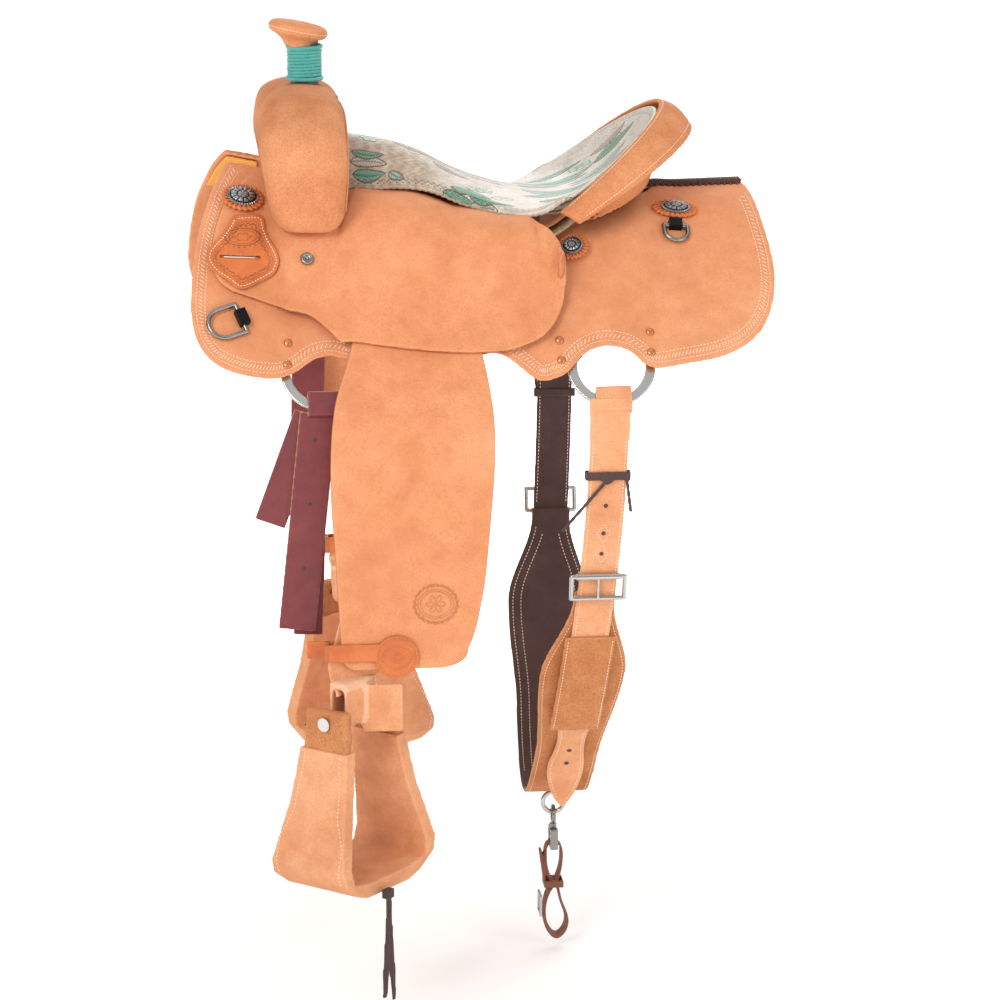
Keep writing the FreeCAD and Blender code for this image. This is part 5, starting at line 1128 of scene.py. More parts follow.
bvr = tree_of(cr)
cst = Bag()
pa, na, pb_, nb_ = [], [], [], []
for k in range(161):
    tt = -0.93 + 1.86 * k / 160
    r0, r1 = curves(tt)
    a = math.pi / 2 * tt
    up = Vector((0.25 * math.cos(a), math.sin(a) * 0.75, 0.95 * math.cos(a) + 0.30)).normalized()
    for fr, P, N in ((0.10, pa, na), (0.88, pb_, nb_)):
        c = r0 + (r1 - r0) * fr
        hit = bvr.ray_cast((c + up * 40) * MM, -up, 0.08)
        if hit[0] is not None:
            P.append(np.array(hit[0]))
            N.append(np.array(hit[1]))
cst.run(pa, na, 3.6, 2.6, 0.55)
cst.run(pb_, nb_, 4.2, 3.1, 0.5)
finish_piece(cst.obj("cantle_roll_stitches", THREAD), "saddle", ())

# ------------------------------------------------------------------ stitched band along the skirt edges
bands = Bag()
SKD = dense(SKIRT, 2.0)
for sd_, ob in ((-1, sk_l), (1, sk_r)):
    bv = tree_of(ob)
    for d, st_, ln, r in ((7.0, 4.4, 3.0, 0.55), (17.5, 4.4, 3.0, 0.55)):
        line = inset(SKD, d)
        for pts, nr in project(bv, line, sd_):
            bands.run(pts, nr, st_, ln, r)
    # the crossed row in the middle of the band
    a_, b_ = inset(SKD, 9.6), inset(SKD, 15.0)
    seg = np.concatenate(([0], np.cumsum(np.linalg.norm(np.diff(SKD, axis=0), axis=1))))
    nst = int(seg[-1] / 4.4)
    for k in range(nst):
        s0, s1 = (k + 0.15) * 4.4, (k + 0.85) * 4.4
        p = np.array([np.interp(s0, seg, a_[:, q]) for q in range(2)])
        q_ = np.array([np.interp(s1, seg, b_[:, q]) for q in range(2)])
        ha = bv.ray_cast(Vector((p[0] * MM, sd_ * 0.6, p[1] * MM)), Vector((0, -sd_, 0)), 0.6)
        hb = bv.ray_cast(Vector((q_[0] * MM, sd_ * 0.6, q_[1] * MM)), Vector((0, -sd_, 0)), 0.6)
        if ha[0] is None or hb[0] is None or (ha[0] - hb[0]).length > 0.016:
            continue
        bands.stitch(np.array(ha[0]), np.array(hb[0]), np.array(ha[1]), 0.0005)
finish_piece(bands.obj("skirt_band_stitches", THREAD), "saddle", ())


# ------------------------------------------------------------------ latigo keepers with tooled border and slot
def poly_dist(P, X, Z):
    """distance from points to a closed line and whether inside"""
    A, B = P, np.roll(P, -1, 0)
    best = np.full(X.shape, 1e9)
    ins = np.zeros(X.shape, bool)
    for a, b in zip(A, B):
        d = b - a
        t = np.clip(((X - a[0]) * d[0] + (Z - a[1]) * d[1]) / (d @ d + 1e-12), 0, 1)
        best = np.minimum(best, np.hypot(X - a[0] - t * d[0], Z - a[1] - t * d[1]))
        c = ((a[1] > Z) != (b[1] > Z)) & (X < (b[0] - a[0]) * (Z - a[1]) / (b[1] - a[1] + 1e-12) + a[0])
        ins ^= c
    return best, ins


KD = dense(KEEPER, 2.5, True)
KARC = np.concatenate(([0], np.cumsum(np.linalg.norm(np.diff(KD, axis=0), axis=1))))


def keeper_extra(o):
    co, no = coords(o), normals(o)
    X, Z = co[:, 0] / MM, co[:, 2] / MM
    d, ins = poly_dist(KD, X, Z)
    nearest = np.argmin((X[:, None] - KD[None, :, 0]) ** 2 + (Z[:, None] - KD[None, :, 1]) ** 2, axis=1)
    s = KARC[np.minimum(nearest, len(KARC) - 1)]
    outw = (np.abs(no[:, 1]) > 0.45) & (np.sign(no[:, 1]) == np.sign(co[:, 1]))
    sc_ = 7.0
    wv = 9.5 + 2.2 * np.abs(np.sin(s / sc_ * math.pi))
    m = np.clip(1 - np.abs(d - wv) / 1.0, 0, 1) * ins * outw
    m2 = np.clip(1 - np.abs(d - 7.6) / 0.7, 0, 1) * ins * outw
    # plain oval with a rope border in the middle
    ex, ez = X + 287, Z + 6
    ov = np.sqrt((ex / 22.0) ** 2 + (ez / 9.5) ** 2)
    m3 = np.clip(1 - np.abs(ov - 1.0) / 0.09, 0, 1) * outw
    m4 = np.clip(1 - np.abs(ov - 0.78) / 0.06, 0, 1) * outw
    th = np.arctan2(ez * 2.3, ex)
    pet = np.clip(1 - np.abs(ov - (0.30 + 0.16 * np.abs(np.cos(3 * th)))) / 0.07, 0, 1) * outw
    rope = np.clip(1 - np.abs(ov - 1.22) / 0.12, 0, 1) * (np.sin(th * 24) > 0.1) * outw
    allm = np.clip(m + m2 * 0.6 + m3 + m4 * 0.7 + rope * 0.7 + pet * 0.8, 0, 1)
    set_attr(o, "ink", allm)
    co = co - no * (allm * 0.0005)[:, None]
    o.data.vertices.foreach_set("co", co.ravel())
    o.data.update()


kp = soft("latigo_keeper_leather", ["latigo_keepers"], "saddle", RUSSET, 0.9, 1, 3.5, extra=keeper_extra)
kst = Bag()
bvk = tree_of(kp)
for sd_ in (-1, 1):
    for pts, nr in project(bvk, inset(KD, 3.6, True), sd_) + []:
        kst.run(pts, nr, 4.0, 2.9, 0.6)
    # thong laced through the slot
    for dz in (-1.2, 1.6):
        line = np.array([(-311 + k * 2.0, -26.6 - 0.07 * k * 2 + dz) for k in range(20)])
        P = []
        for x, z in line:
            hit = bvk.ray_cast(Vector((x * MM, sd_ * 0.6, (z + 4) * MM)), Vector((0, -sd_, 0)), 0.6)
            if hit[0] is not None:
                P.append(np.array((x * MM, hit[0].y + sd_ * 0.0004, z * MM)))
        if len(P) > 4:
            kst.tube(P, 0.0008, 6)
finish_piece(kst.obj("keeper_stitches", THREAD), "saddle", ())


# ------------------------------------------------------------------ rosettes and engraved conchos
def disc(cx_m, ra, rb, hfun, edgefun, nr_=26, na=144, base=0.0, ink_fun=None):
    vs, fs, ik = [], [], []
    vs.append(cx_m @ Vector((0, 0, hfun(0.0, 0.0))))
    ik.append(ink_fun(0, 0) if ink_fun else 0)
    for i in range(1, nr_ + 1):
        t = i / nr_
        for k in range(na):
            a = 2 * math.pi * k / na
            e = edgefun(a)
            vs.append(cx_m @ Vector((ra * t * e * math.cos(a), rb * t * e * math.sin(a), hfun(t, a))))
            ik.append(ink_fun(t, a) if ink_fun else 0)
    for k in range(na):
        fs.append((0, 1 + k, 1 + (k + 1) % na))
    for i in range(nr_ - 1):
        for k in range(na):
            a, b = 1 + i * na + k, 1 + i * na + (k + 1) % na
            fs.append((a, a + na, b + na, b))
    last = 1 + (nr_ - 1) * na
    # rim down to the base
    for q, (g, h) in enumerate(((1.0, 0.5), (0.98, 0.0))):
        for k in range(na):
            a = 2 * math.pi * k / na
            e = edgefun(a) * g
            vs.append(cx_m @ Vector((ra * e * math.cos(a), rb * e * math.sin(a), base + (hfun(1.0, a) - base) * h)))
            ik.append(0)
    for q in range(2):
        for k in range(na):
            a, b = last + q * na + k, last + q * na + (k + 1) % na
            fs.append((a, a + na, b + na, b))
    vs.append(cx_m @ Vector((0, 0, base)))
    ik.append(0)
    c = len(vs) - 1
    l2 = last + 2 * na
    for k in range(na):
        fs.append((l2 + k, c, l2 + (k + 1) % na))
    return [np.array(v) * MM for v in vs], fs, ik


jf = jockey_low(-274, 120) + JT
SPOTS = [(-289, 37, jf + 3.6, 26, 19.5, 19.5, 14.0), (122, -26, 11.5, 19.5, 19.5, 13.0, 13.0), (255, 11, 9.2, 28.0, 15.5, 18.5, 10.5)]


def petals(t, a, n):
    return abs(math.sin(n * a / 2.0))


ros, con = Bag(), Bag()
rik, cik = [], []
for x, z, o_, ra_, rb_, ca_, cb_ in SPOTS:
    m, _ = on_flank(x, z, o_)
    for mir_ in (False, True):
        M2 = Matrix.Scale(-1, 4, Vector((0, 1, 0))) @ m if mir_ else m
        sc_n = 22

        def rh(t, a):
            g = 3.2
            if t > 0.62:
                g -= 0.55 * (1 if math.sin(sc_n * a) > 0.35 and t < 0.9 else 0)
                g -= 1.4 * smooth(0.9, 1.0, t)
            return g

        def ri(t, a):
            v = 0.0
            if 0.66 < t < 0.88:
                v = max(v, smooth(0.2, 0.8, math.sin(sc_n * a)) * (0.9 if t > 0.7 else 0.5))
            if abs(t - 0.64) < 0.025:
                v = 1.0
            return v
        vs, fs, ik = disc(M2, ra_, rb_, rh, lambda a: 1.0 + 0.045 * math.cos(sc_n * a), 26, 176, -0.6, ri)
        ros.add(vs, fs if not mir_ else [f[::-1] for f in fs])
        rik += ik
        mc = M2 @ Matrix.Translation((0, 0, 3.2))

        def ch(t, a):
            dome = 4.6 * (1 - t * t) ** 0.5 if t < 0.999 else 0.0
            h = 1.2 + dome * 0.9
            if t > 0.86:
                h = 2.0 + 0.5 * math.sin(34 * a)
            elif t > 0.80:
                h -= 0.9
            elif t > 0.42:
                h += 0.55 * petals(t, a, 12) * math.sin(math.pi * (t - 0.42) / 0.38)
            elif t > 0.36:
                h -= 0.5
            else:
                h += 0.4 * petals(t, a, 6) * math.sin(math.pi * t / 0.36)
            return h

        def ci(t, a):
            v = 0.0
            if 0.78 < t < 0.87:
                v = 1.0
            elif 0.86 <= t:
                v = 0.6 if math.sin(34 * a) < -0.3 else 0.0
            elif t > 0.42:
                v = 1.0 if petals(t, a, 12) < 0.34 else (0.7 if abs(math.sin(9 * t * 3.1 + 3 * a)) < 0.2 else 0.1)
            elif t > 0.35:
                v = 0.9
            else:
                v = 0.8 if petals(t, a, 6) < 0.3 else 0.1
            return v
        vs, fs, ik = disc(mc, ca_, cb_, ch, lambda a: 1.0 + 0.018 * math.cos(34 * a), 34, 170, 0.0, ci)
        con.add(vs, fs if not mir_ else [f[::-1] for f in fs])
        cik += ik
ro = ros.obj("concho_rosette_leather", RUSSET)
set_attr(ro, "ink", rik)
finish_piece(ro, "saddle", ["concho_rosettes"])
co_ = con.obj("engraved_conchos", SILVER)
set_attr(co_, "ink", cik)
finish_piece(co_, "saddle", ["conchos"])

# rivets with domed heads
rv = Bag()
for x, z in ((-236.4, -128.0), (-238.0, -151.7), (96.3, -130.5), (97.2, -152.3), (208.3, -122.0), (207.9, -144.1)):
    m, _ = on_flank(x, z, 6.4)
    for mir_ in (False, True):
        M2 = Matrix.Scale(-1, 4, Vector((0, 1, 0))) @ m if mir_ else m
        vs, fs, _k = disc(M2, 5.2, 5.2, lambda t, a: 0.5 + 2.1 * math.sqrt(max(0, 1 - t * t)), lambda a: 1.0, 10, 32, -0.4)
        rv.add(vs, fs if not mir_ else [f[::-1] for f in fs])
finish_piece(rv.obj("copper_rivet_heads", COPPER), "saddle", ["rigging_rivets"])

# rope strap ferrules: turned cup with a socket screw
_, fy = on_flank(-210, -31, 25.0)
m, _ = on_flank(-210, -31, jockey_low(-210, fy) + JT + 1.4)
fe_ = Bag()
for mir_ in (False, True):
    M2 = Matrix.Scale(-1, 4, Vector((0, 1, 0))) @ m if mir_ else m
    prof_ = [(7.8, 0.0), (8.2, 1.6), (7.6, 3.2), (6.4, 4.2), (5.4, 4.0), (4.6, 2.6), (3.4, 2.4), (2.6, 2.6), (2.4, 0.6), (0.01, 0.4)]
    vs, fs = [], []
    for r0, hh in prof_:
        for k in range(40):
            a = 2 * math.pi * k / 40
            vs.append(np.array(M2 @ Vector((r0 * math.cos(a), r0 * math.sin(a), hh))) * MM)
    for i in range(len(prof_) - 1):
        for k in range(40):
            q = (i * 40 + k, i * 40 + (k + 1) % 40, (i + 1) * 40 + (k + 1) % 40, (i + 1) * 40 + k)
            fs.append(q if not mir_ else q[::-1])
    fe_.add(vs, fs)
finish_piece(fe_.obj("rope_strap_ferrule_cups", NICKEL), "saddle", ["rope_strap_ferrules"])

# ------------------------------------------------------------------ fenders, one sheet each, shaped with a bend at the fold
NF = Vector((0, -0.8320502943378437, 0.5547001962252291))
NR = Vector((0, 0.8320502943378437, 0.5547001962252291))
SWC = Vector((-85.0, -173.069861, -56.175648))
SWR = Vector((-85.0, 173.069861, -56.175648))
FARROT = Matrix.Rotation(math.radians(-3.6), 4, NR)


def far(p):
    p = Vector(p)
    p = Vector((p.x, -p.y, p.z))
    return SWR + (FARROT @ (p - SWR))


def fender_y(z):
    y = 150 + (100.0 / 150.0) * (-40.5 - z)
    if z > -205:
        return y
    y0 = 150 + (100.0 / 150.0) * (-40.5 + 205)
    return y0 + (100.0 / 150.0) * 34.0 * (1 - math.exp((z + 205) / 34.0))


def fender_point(x, z, o):
    e = 0.5
    sl = (fender_y(z + e) - fender_y(z - e)) / (2 * e)
    n = Vector((0, -1.0, -sl)).normalized()
    return Vector((x, -fender_y(z), z)) + n * o


FL_L = [(-140, -58), (-144, -75), (-150, -105), (-157, -135), (-165, -160)] + [(x, z) for x, z in FENDER[3:14]]
FL_R = [(-36, -58), (-24, -75), (-14, -105), (-5, -135), (1, -160)] + [(x, z) for x, z in reversed(FENDER[17:29])]
Lz, Lx = [-z for x, z in FL_L], [x for x, z in FL_L]
Rz, Rx = [-z for x, z in FL_R], [x for x, z in FL_R]
Ltab, Rtab = sorted(zip(Lz, Lx)), sorted(zip(Rz, Rx))
ZS = list(np.linspace(60, 500, 200)) + list(500 + 20.6 * np.sin(np.linspace(0.03, 1.0, 30) * math.pi / 2))
for side in ("left", "right"):
    top, bot = [], []
    for z in ZS:
        if z <= 497:
            xl, xr = catmull(Ltab, z), catmull(Rtab, z)
        else:
            t = (z - 497) / 24.0
            c = math.sqrt(max(0.0, 1 - min(1, t) ** 2.6))
            xl = -96 + (catmull(Ltab, 497) + 96) * (0.80 + 0.20 * c) * (1 if t < 0.98 else 0.97)
            xr = -96 + (catmull(Rtab, 497) + 96) * (0.42 + 0.58 * c)
        ra, rb = [], []
        for j in range(70):
            f = j / 69.0
            x = xl + (xr - xl) * (0.5 - 0.5 * math.cos(math.pi * (0.08 + 0.84 * f))) / 1.0
            x = xl + (xr - xl) * f
            wv = 0.5 * math.sin(x * 0.05 + 1.0) * math.sin(z * 0.021) + 0.35 * math.sin(z * 0.05 + x * 0.02)
            pa_, pb2 = fender_point(x, -z, 13.0 + wv), fender_point(x, -z, 8.4 + wv)
            if side == "right":
                pa_, pb2 = far(pa_), far(pb2)
            ra.append(np.array(pa_) * MM)
            rb.append(np.array(pb2) * MM)
        top.append(ra)
        bot.append(rb)
    fo = slab("fender_leather_" + side, top, bot, ROUGH)
    cof = coords(fo)
    # edge marks on the rim; the ink stays zero, the oval of the round stamp is computed but not drawn
    nT = len(ZS) * 70
    e_ = np.zeros(len(cof))
    e_[2 * nT:] = 1.0
    set_attr(fo, "edge", e_)
    ik = np.zeros(len(cof))
    Xg = np.array([[catmull(Ltab, min(z, 497)) + (catmull(Rtab, min(z, 497)) - catmull(Ltab, min(z, 497))) * j / 69.0 for j in range(70)] for z in ZS]).ravel()
    Zg = np.repeat(-np.array(ZS), 70)
    ex, ez = Xg + 63.0, Zg + 440.0
    ov = np.sqrt((ex / 27.0) ** 2 + (ez / 25.0) ** 2)
    th = np.arctan2(ez, ex)
    v = np.zeros_like(ov)
    ik[:nT] = v
    set_attr(fo, "ink", ik)
    body_a, body_b = "fender_hang_" + side, "fender_low_" + side
    s0, s1 = fender_point(-85, -168, 10.5), fender_point(-85, -206, 10.5)
    if side == "right":
        s0, s1 = far(s0), far(s1)
    finish_piece(fo, None, ["fender_top_" + side, "fender_" + side], (body_a, body_b, tuple(s0 * MM), tuple(s1 * MM)))
    # pressed stamp as raised rope beads, two thin rings and petals
    stb = Bag()

    def fp(x, z, o):
        p = fender_point(x, z, o)
        return np.array(far(p) if side == "right" else p) * MM
    for k in range(44):
        a = 2 * math.pi * k / 44
        rr = 1.0 + (0.05 if k % 2 else 0.0)
        stb.tube([fp(-63 + 25.5 * rr * math.cos(a + d_), -440 + 23.0 * rr * math.sin(a + d_), 13.1) for d_ in (-0.05, 0.0, 0.05)], 0.0017, 6)
    for rr in (0.86, 0.74):
        stb.tube([fp(-63 + 25.5 * rr * math.cos(2 * math.pi * k / 60), -440 + 23.0 * rr * 0.92 * math.sin(2 * math.pi * k / 60), 13.0) for k in range(60)], 0.0009, 6, True)
    for pz in range(6):
        a0 = math.pi * pz / 3
        loop_ = []
        for k in range(24):
            t = 2 * math.pi * k / 24
            lx, lz = 6.4 + 5.2 * math.cos(t), 2.8 * math.sin(t)
            loop_.append(fp(-63 + lx * math.cos(a0) - lz * math.sin(a0), -440 + lx * math.sin(a0) + lz * math.cos(a0), 13.05))
        stb.tube(loop_, 0.001, 6, True)
    so2 = stb.obj("fender_stamp_" + side, BRUSH)
    finish_piece(so2, body_b, ())

for side in ("left", "right"):
    soft("stirrup_leather_strap_" + side, ["stirrup_leather_" + side], "fender_low_" + side, STIRM, 2.0, 2, 5.0)
    # leather tab folded over the head of each branch
    fr_ = bmesh.new()
    fr_.from_mesh(NODES["stirrup_frame_" + side].data)
    bmesh.ops.remove_doubles(fr_, verts=fr_.verts, dist=1e-6)
    zc_ = Vector((-165, -292, -577 - 82))
    nc_ = Vector((0, 0, 1))
    if side == "right":
        zc_ = far(zc_)
        nc_ = FARROT.to_3x3() @ nc_
    bmesh.ops.bisect_plane(fr_, geom=fr_.verts[:] + fr_.edges[:] + fr_.faces[:], plane_co=zc_ * MM, plane_no=nc_, clear_inner=True)
    bmesh.ops.holes_fill(fr_, edges=[e for e in fr_.edges if e.is_boundary], sides=0)
    me_ = bpy.data.meshes.new("tab")
    fr_.to_mesh(me_)
    fr_.free()
    tab = bpy.data.objects.new("stirrup_head_tabs_" + side, me_)
    bpy.context.collection.objects.link(tab)
    r_ = tab.modifiers.new("r", "REMESH")
    r_.mode = "VOXEL"
    r_.voxel_size = 0.0018
    apply_mods(tab)
    laplace(tab, 3, 0.5)
    ct_, nt_ = coords(tab), normals(tab)
    wv_ = 0.0004 * np.sin(ct_[:, 2] * 260 + 2 * np.sin(ct_[:, 0] * 150))
    tab.data.vertices.foreach_set("co", (ct_ + nt_ * (0.0028 + wv_)[:, None]).ravel())
    tab.data.update()
    tab.data.materials.clear()
    tab.data.materials.append(BRUSH)
    tab.data.polygons.foreach_set("use_smooth", [True] * len(tab.data.polygons))
    finish_piece(tab, "stirrup_" + side, ())
    hob = soft("hobble_strap_leather_" + side, ["hobble_strap_" + side], "fender_low_" + side, RUSSET, 1.1, 2, 3.5)
    soft("stirrup_loop_leather_" + side, ["stirrup_leather_loop_" + side], "stirrup_neck_" + side, STIRM, 1.9, 12, 5.0)
    soft("stirrup_frame_wood_" + side, ["stirrup_frame_" + side], "stirrup_" + side, WOOD, 2.0, 1)
    cv = soft("stirrup_cover_leather_" + side, ["stirrup_cover_" + side], "stirrup_" + side, STIRM, 2.0, 4)

    def wide_tails(o, side=side):
        """the two tails are flat thongs with pointed tips"""
        T_ = Matrix.Translation(Vector((-165, -292, -577))) @ Matrix.Rotation(math.radians(50), 4, "Z")
        if side == "right":
            T_ = Matrix.Translation(SWR) @ FARROT @ Matrix.Translation(-SWR) @ Matrix.Scale(-1, 4, Vector((0, 1, 0))) @ T_
        Ti = T_.inverted()
        A_, Ai = np.array(T_), np.array(Ti)
        c_ = coords(o) / MM
        L_ = c_ @ Ai[:3, :3].T + Ai[:3, 3]
        q = np.clip((-232 - L_[:, 2]) / 20.0, 0, 1)
        tip = 1 - 0.9 * np.clip((-318 - L_[:, 2]) / 36.0, 0, 1)
        sp_ = np.clip((-219 - L_[:, 2]) / 130.0, 0, 1)
        cxa = np.where(L_[:, 0] < -18.5 - 0.0 * sp_, -24 - 3 * sp_, -13 + 3 * sp_)
        L_[:, 0] = L_[:, 0] + (L_[:, 0] - cxa) * (1.5 * q * tip)
        c_ = L_ @ A_[:3, :3].T + A_[:3, 3]
        o.data.vertices.foreach_set("co", (c_ * MM).ravel())
        o.data.update()

    soft("stirrup_lace_thong_" + side, ["stirrup_lace_" + side], "stirrup_" + side, LACE, 1.2, 2, extra=wide_tails)
    # disc decoration of the hobble strap: rope border, oval and flower
    hb = Bag()
    hy = -(fender_y(-500) + 13.0 + 1.3) - 3.6

    def hp(x, z, o=0.0):
        p = Vector((x, hy - o, z))
        return np.array(far(p) if side == "right" else p) * MM
    for k in range(36):
        a = 2 * math.pi * k / 36
        hb.tube([hp(-111 + 23.2 * math.cos(a + d_) * (1 + 0.03 * (k % 2)), -505 + 23.2 * math.sin(a + d_) * (1 + 0.03 * (k % 2))) for d_ in (-0.055, 0, 0.055)], 0.0011, 5)
    for rr in (0.8, 0.7):
        hb.tube([hp(-111 + 24 * rr * math.cos(2 * math.pi * k / 60), -505 + 18 * rr * math.sin(2 * math.pi * k / 60)) for k in range(60)], 0.0006, 5, True)
    for pz in range(6):
        a0 = math.pi * pz / 3
        hb.tube([hp(-111 + (5.0 + 4.0 * math.cos(t)) * math.cos(a0) - 2.2 * math.sin(t) * math.sin(a0), -505 + (5.0 + 4.0 * math.cos(t)) * math.sin(a0) + 2.2 * math.sin(t) * math.cos(a0))
                 for t in [2 * math.pi * k / 22 for k in range(22)]], 0.0006, 5, True)
    finish_piece(hb.obj("hobble_disc_tooling_" + side, RUSSET), "fender_low_" + side, ())
    # twisted straps between the fender's foot and the turned loop
    NECK = Vector((-165, -292, -577))
    for kk, (dx, wdt, off) in enumerate(((-8, 46, 0.0), (6, 44, 6.5))):
        top, bot = [], []
        for i in range(40):
            t = i / 39.0
            z = -508 + (-548 + 508) * t
            p0 = fender_point(-160 + dx, max(z, -524), 3.0 - off * 0.6)
            c = Vector((p0.x, p0.y, z)) * (1 - smooth(0.3, 1, t)) + Vector((NECK.x + dx * 0.2, NECK.y, z)) * smooth(0.3, 1, t)
            ang = math.radians(50) * smooth(0.15, 1.0, t)
            wd = Vector((math.cos(ang), math.sin(ang), 0))
            nn_ = Vector((math.sin(ang), -math.cos(ang), 0))
            c = c + nn_ * (off * (1 - 2 * t) * 0.7)
            ra, rb = [], []
            for j in range(14):
                u = (j / 13.0 - 0.5) * (wdt + 12 * t)
                a_, b_ = c + wd * u + nn_ * 2.1, c + wd * u - nn_ * 2.1
                if side == "right":
                    a_, b_ = far(a_), far(b_)
                ra.append(np.array(a_) * MM)
                rb.append(np.array(b_) * MM)
            top.append(ra)
            bot.append(rb)
        tw = slab("stirrup_twist_%d_%s" % (kk, side), top, bot, STIRM)
        s0, s1 = Vector((NECK.x, NECK.y, -512)), Vector((NECK.x, NECK.y, -546))
        if side == "right":
            s0, s1 = far(s0), far(s1)
        finish_piece(tw, None, (), ("fender_low_" + side, "stirrup_neck_" + side, tuple(s0 * MM), tuple(s1 * MM)))
    # stitches round the stirrup cover, along the outer edges of the branches
    bvc = tree_of(cv)
    ss = Bag()
    TURN = Matrix.Rotation(math.radians(50), 4, "Z")

    def loc2w(x, y, z):
        p = NECK + (TURN @ Vector((x, y, z)))
        return far(p) if side == "right" else p

    def loc2d(v):
        d = TURN @ Vector(v)
        if side == "right":
            d = FARROT @ Vector((d.x, -d.y, d.z))
        return d
    th_, tl_, tall_ = 44.0, 82.0, 205.0
    SIDEP = [(th_ + 9, -36), (th_ + 17, -60), (th_ + 26, -100), (th_ + 38, -140), (tl_ + 9, -172), (tl_ + 4, -188)]
    for sx in (-1, 1):
        for sy in (-1, 1):
            P, N = [], []
            for i in range(90):
                q = i / 89.0 * (len(SIDEP) - 1)
                k = min(int(q), len(SIDEP) - 2)
                x = (SIDEP[k][0] + (SIDEP[k + 1][0] - SIDEP[k][0]) * (q - k)) * sx
                z = SIDEP[k][1] + (SIDEP[k + 1][1] - SIDEP[k][1]) * (q - k)
                hw = 31 + 6 * smooth(-40, -100, z) + 15 * smooth(-100, -150, z)
                y = sy * (hw - 4.5)
                o_ = loc2w(x + sx * 60, y, z)
                d = loc2d((-sx, 0, 0))
                hit = bvc.ray_cast(Vector(o_) * MM, d, 0.12)
                if hit[0] is not None and (not P or np.linalg.norm(np.array(hit[0]) - P[-1]) < 0.01):
                    P.append(np.array(hit[0]))
                    N.append(np.array(hit[1]))
            if len(P) > 5:
                ss.run(P, N, 5.0, 3.4, 0.6)
    if ss.n:
        finish_piece(ss.obj("stirrup_cover_stitches_" + side, THREAD), "stirrup_" + side, ())

# ------------------------------------------------------------------ latigo, off billet, flank set
def side_edges(axis, lim, above):
    def f(o):
        n_ = np.abs(normals(o)[:, axis])
        set_attr(o, "edge", ((n_ > lim) if above else (n_ < lim)).astype(float) * 0.9)
    return f


def billet_extra(o):
    """the near billet ends under the keeper; its free tail is a separate sheet"""
    bm_ = bmesh.new()
    bm_.from_mesh(o.data)
    bmesh.ops.delete(bm_, geom=[v for v in bm_.verts if v.co.y < 0 and v.co.z < -0.618], context="VERTS")
    bm_.to_mesh(o.data)
    bm_.free()
    side_edges(0, 0.72, True)(o)


lt = soft("latigo_strap", ["latigo_left"], "latigo", BURG, 1.5, 2, extra=side_edges(1, 0.5, False))
ofb = soft("off_billet_strap", ["off_billet_right"], "off_billet", BURG, 1.5, 2, extra=side_edges(1, 0.5, False))
fb = soft("flank_billet_leather", ["flank_billets"], "flank_set", STIRM, 1.9, 2, extra=billet_extra)
fc = soft("flank_cinch_leather", ["flank_cinch"], "flank_set", BRUSH, 2.4, 2, extra=side_edges(0, 0.72, True))
kpr = soft("flank_keeper_leather", ["flank_keepers"], "flank_set", BRUSH, 1.8, 3, puff=0.3)
soft("billet_tie_thongs", ["flank_billet_ties"], "flank_set", LACE, 1.2, 2)
cs_ = soft("connector_strap_leather", ["connector_strap"], "connector", TANS, 1.1, 2)
# inside of the flank cinch is smooth dark leather
fcm = fc.data
fcm.materials.append(DARK)
nrmc = np.empty(len(fcm.polygons) * 3)
fcm.polygons.foreach_get("normal", nrmc)
nrmc = nrmc.reshape(-1, 3)
cen = np.empty(len(fcm.polygons) * 3)
fcm.polygons.foreach_get("center", cen)
cen = cen.reshape(-1, 3)
inner = (nrmc[:, 1] * (-cen[:, 1]) + nrmc[:, 2] * (-0.42 - cen[:, 2])) > 0
fcm.polygons.foreach_set("material_index", inner.astype(np.int32))
for ob_ in (fb,):
    m2 = ob_.data
    m2.materials.append(DARK)
    a = np.empty(len(m2.polygons) * 3)
    m2.polygons.foreach_get("normal", a)
    a = a.reshape(-1, 3)
    c = np.empty(len(m2.polygons) * 3)
    m2.polygons.foreach_get("center", c)
    c = c.reshape(-1, 3)
    inner = ((a[:, 1] * (-c[:, 1]) + a[:, 2] * (-0.42 - c[:, 2])) > 0.02) & (c[:, 1] > 0)
    m2.polygons.foreach_set("material_index", inner.astype(np.int32))

LOOPC = [(-205, 258), (-225, 264), (-260, 262), (-330, 254), (-400, 242), (-480, 222), (-560, 192), (-640, 150), (-700, 108), (-745, 66), (-770, 26), (-775, 0)]
LTAB = sorted(LOOPC)


def loop_y(z):
    return catmull(LTAB, z)


zz = np.linspace(-228, -772, 400)
yy = np.array([loop_y(z) for z in zz])
ds = np.concatenate(([0], np.cumsum(np.hypot(np.diff(zz), np.diff(yy)))))
OFFS = 21.0
LCL = 2 * (OFFS + ds[-1] + 27.0)


def loop_x_at(s_):
    q = s_ / LCL
    return 153.0 - 34.0 * math.sin(math.pi * min(1, q)) ** 2 - 8.0 * q


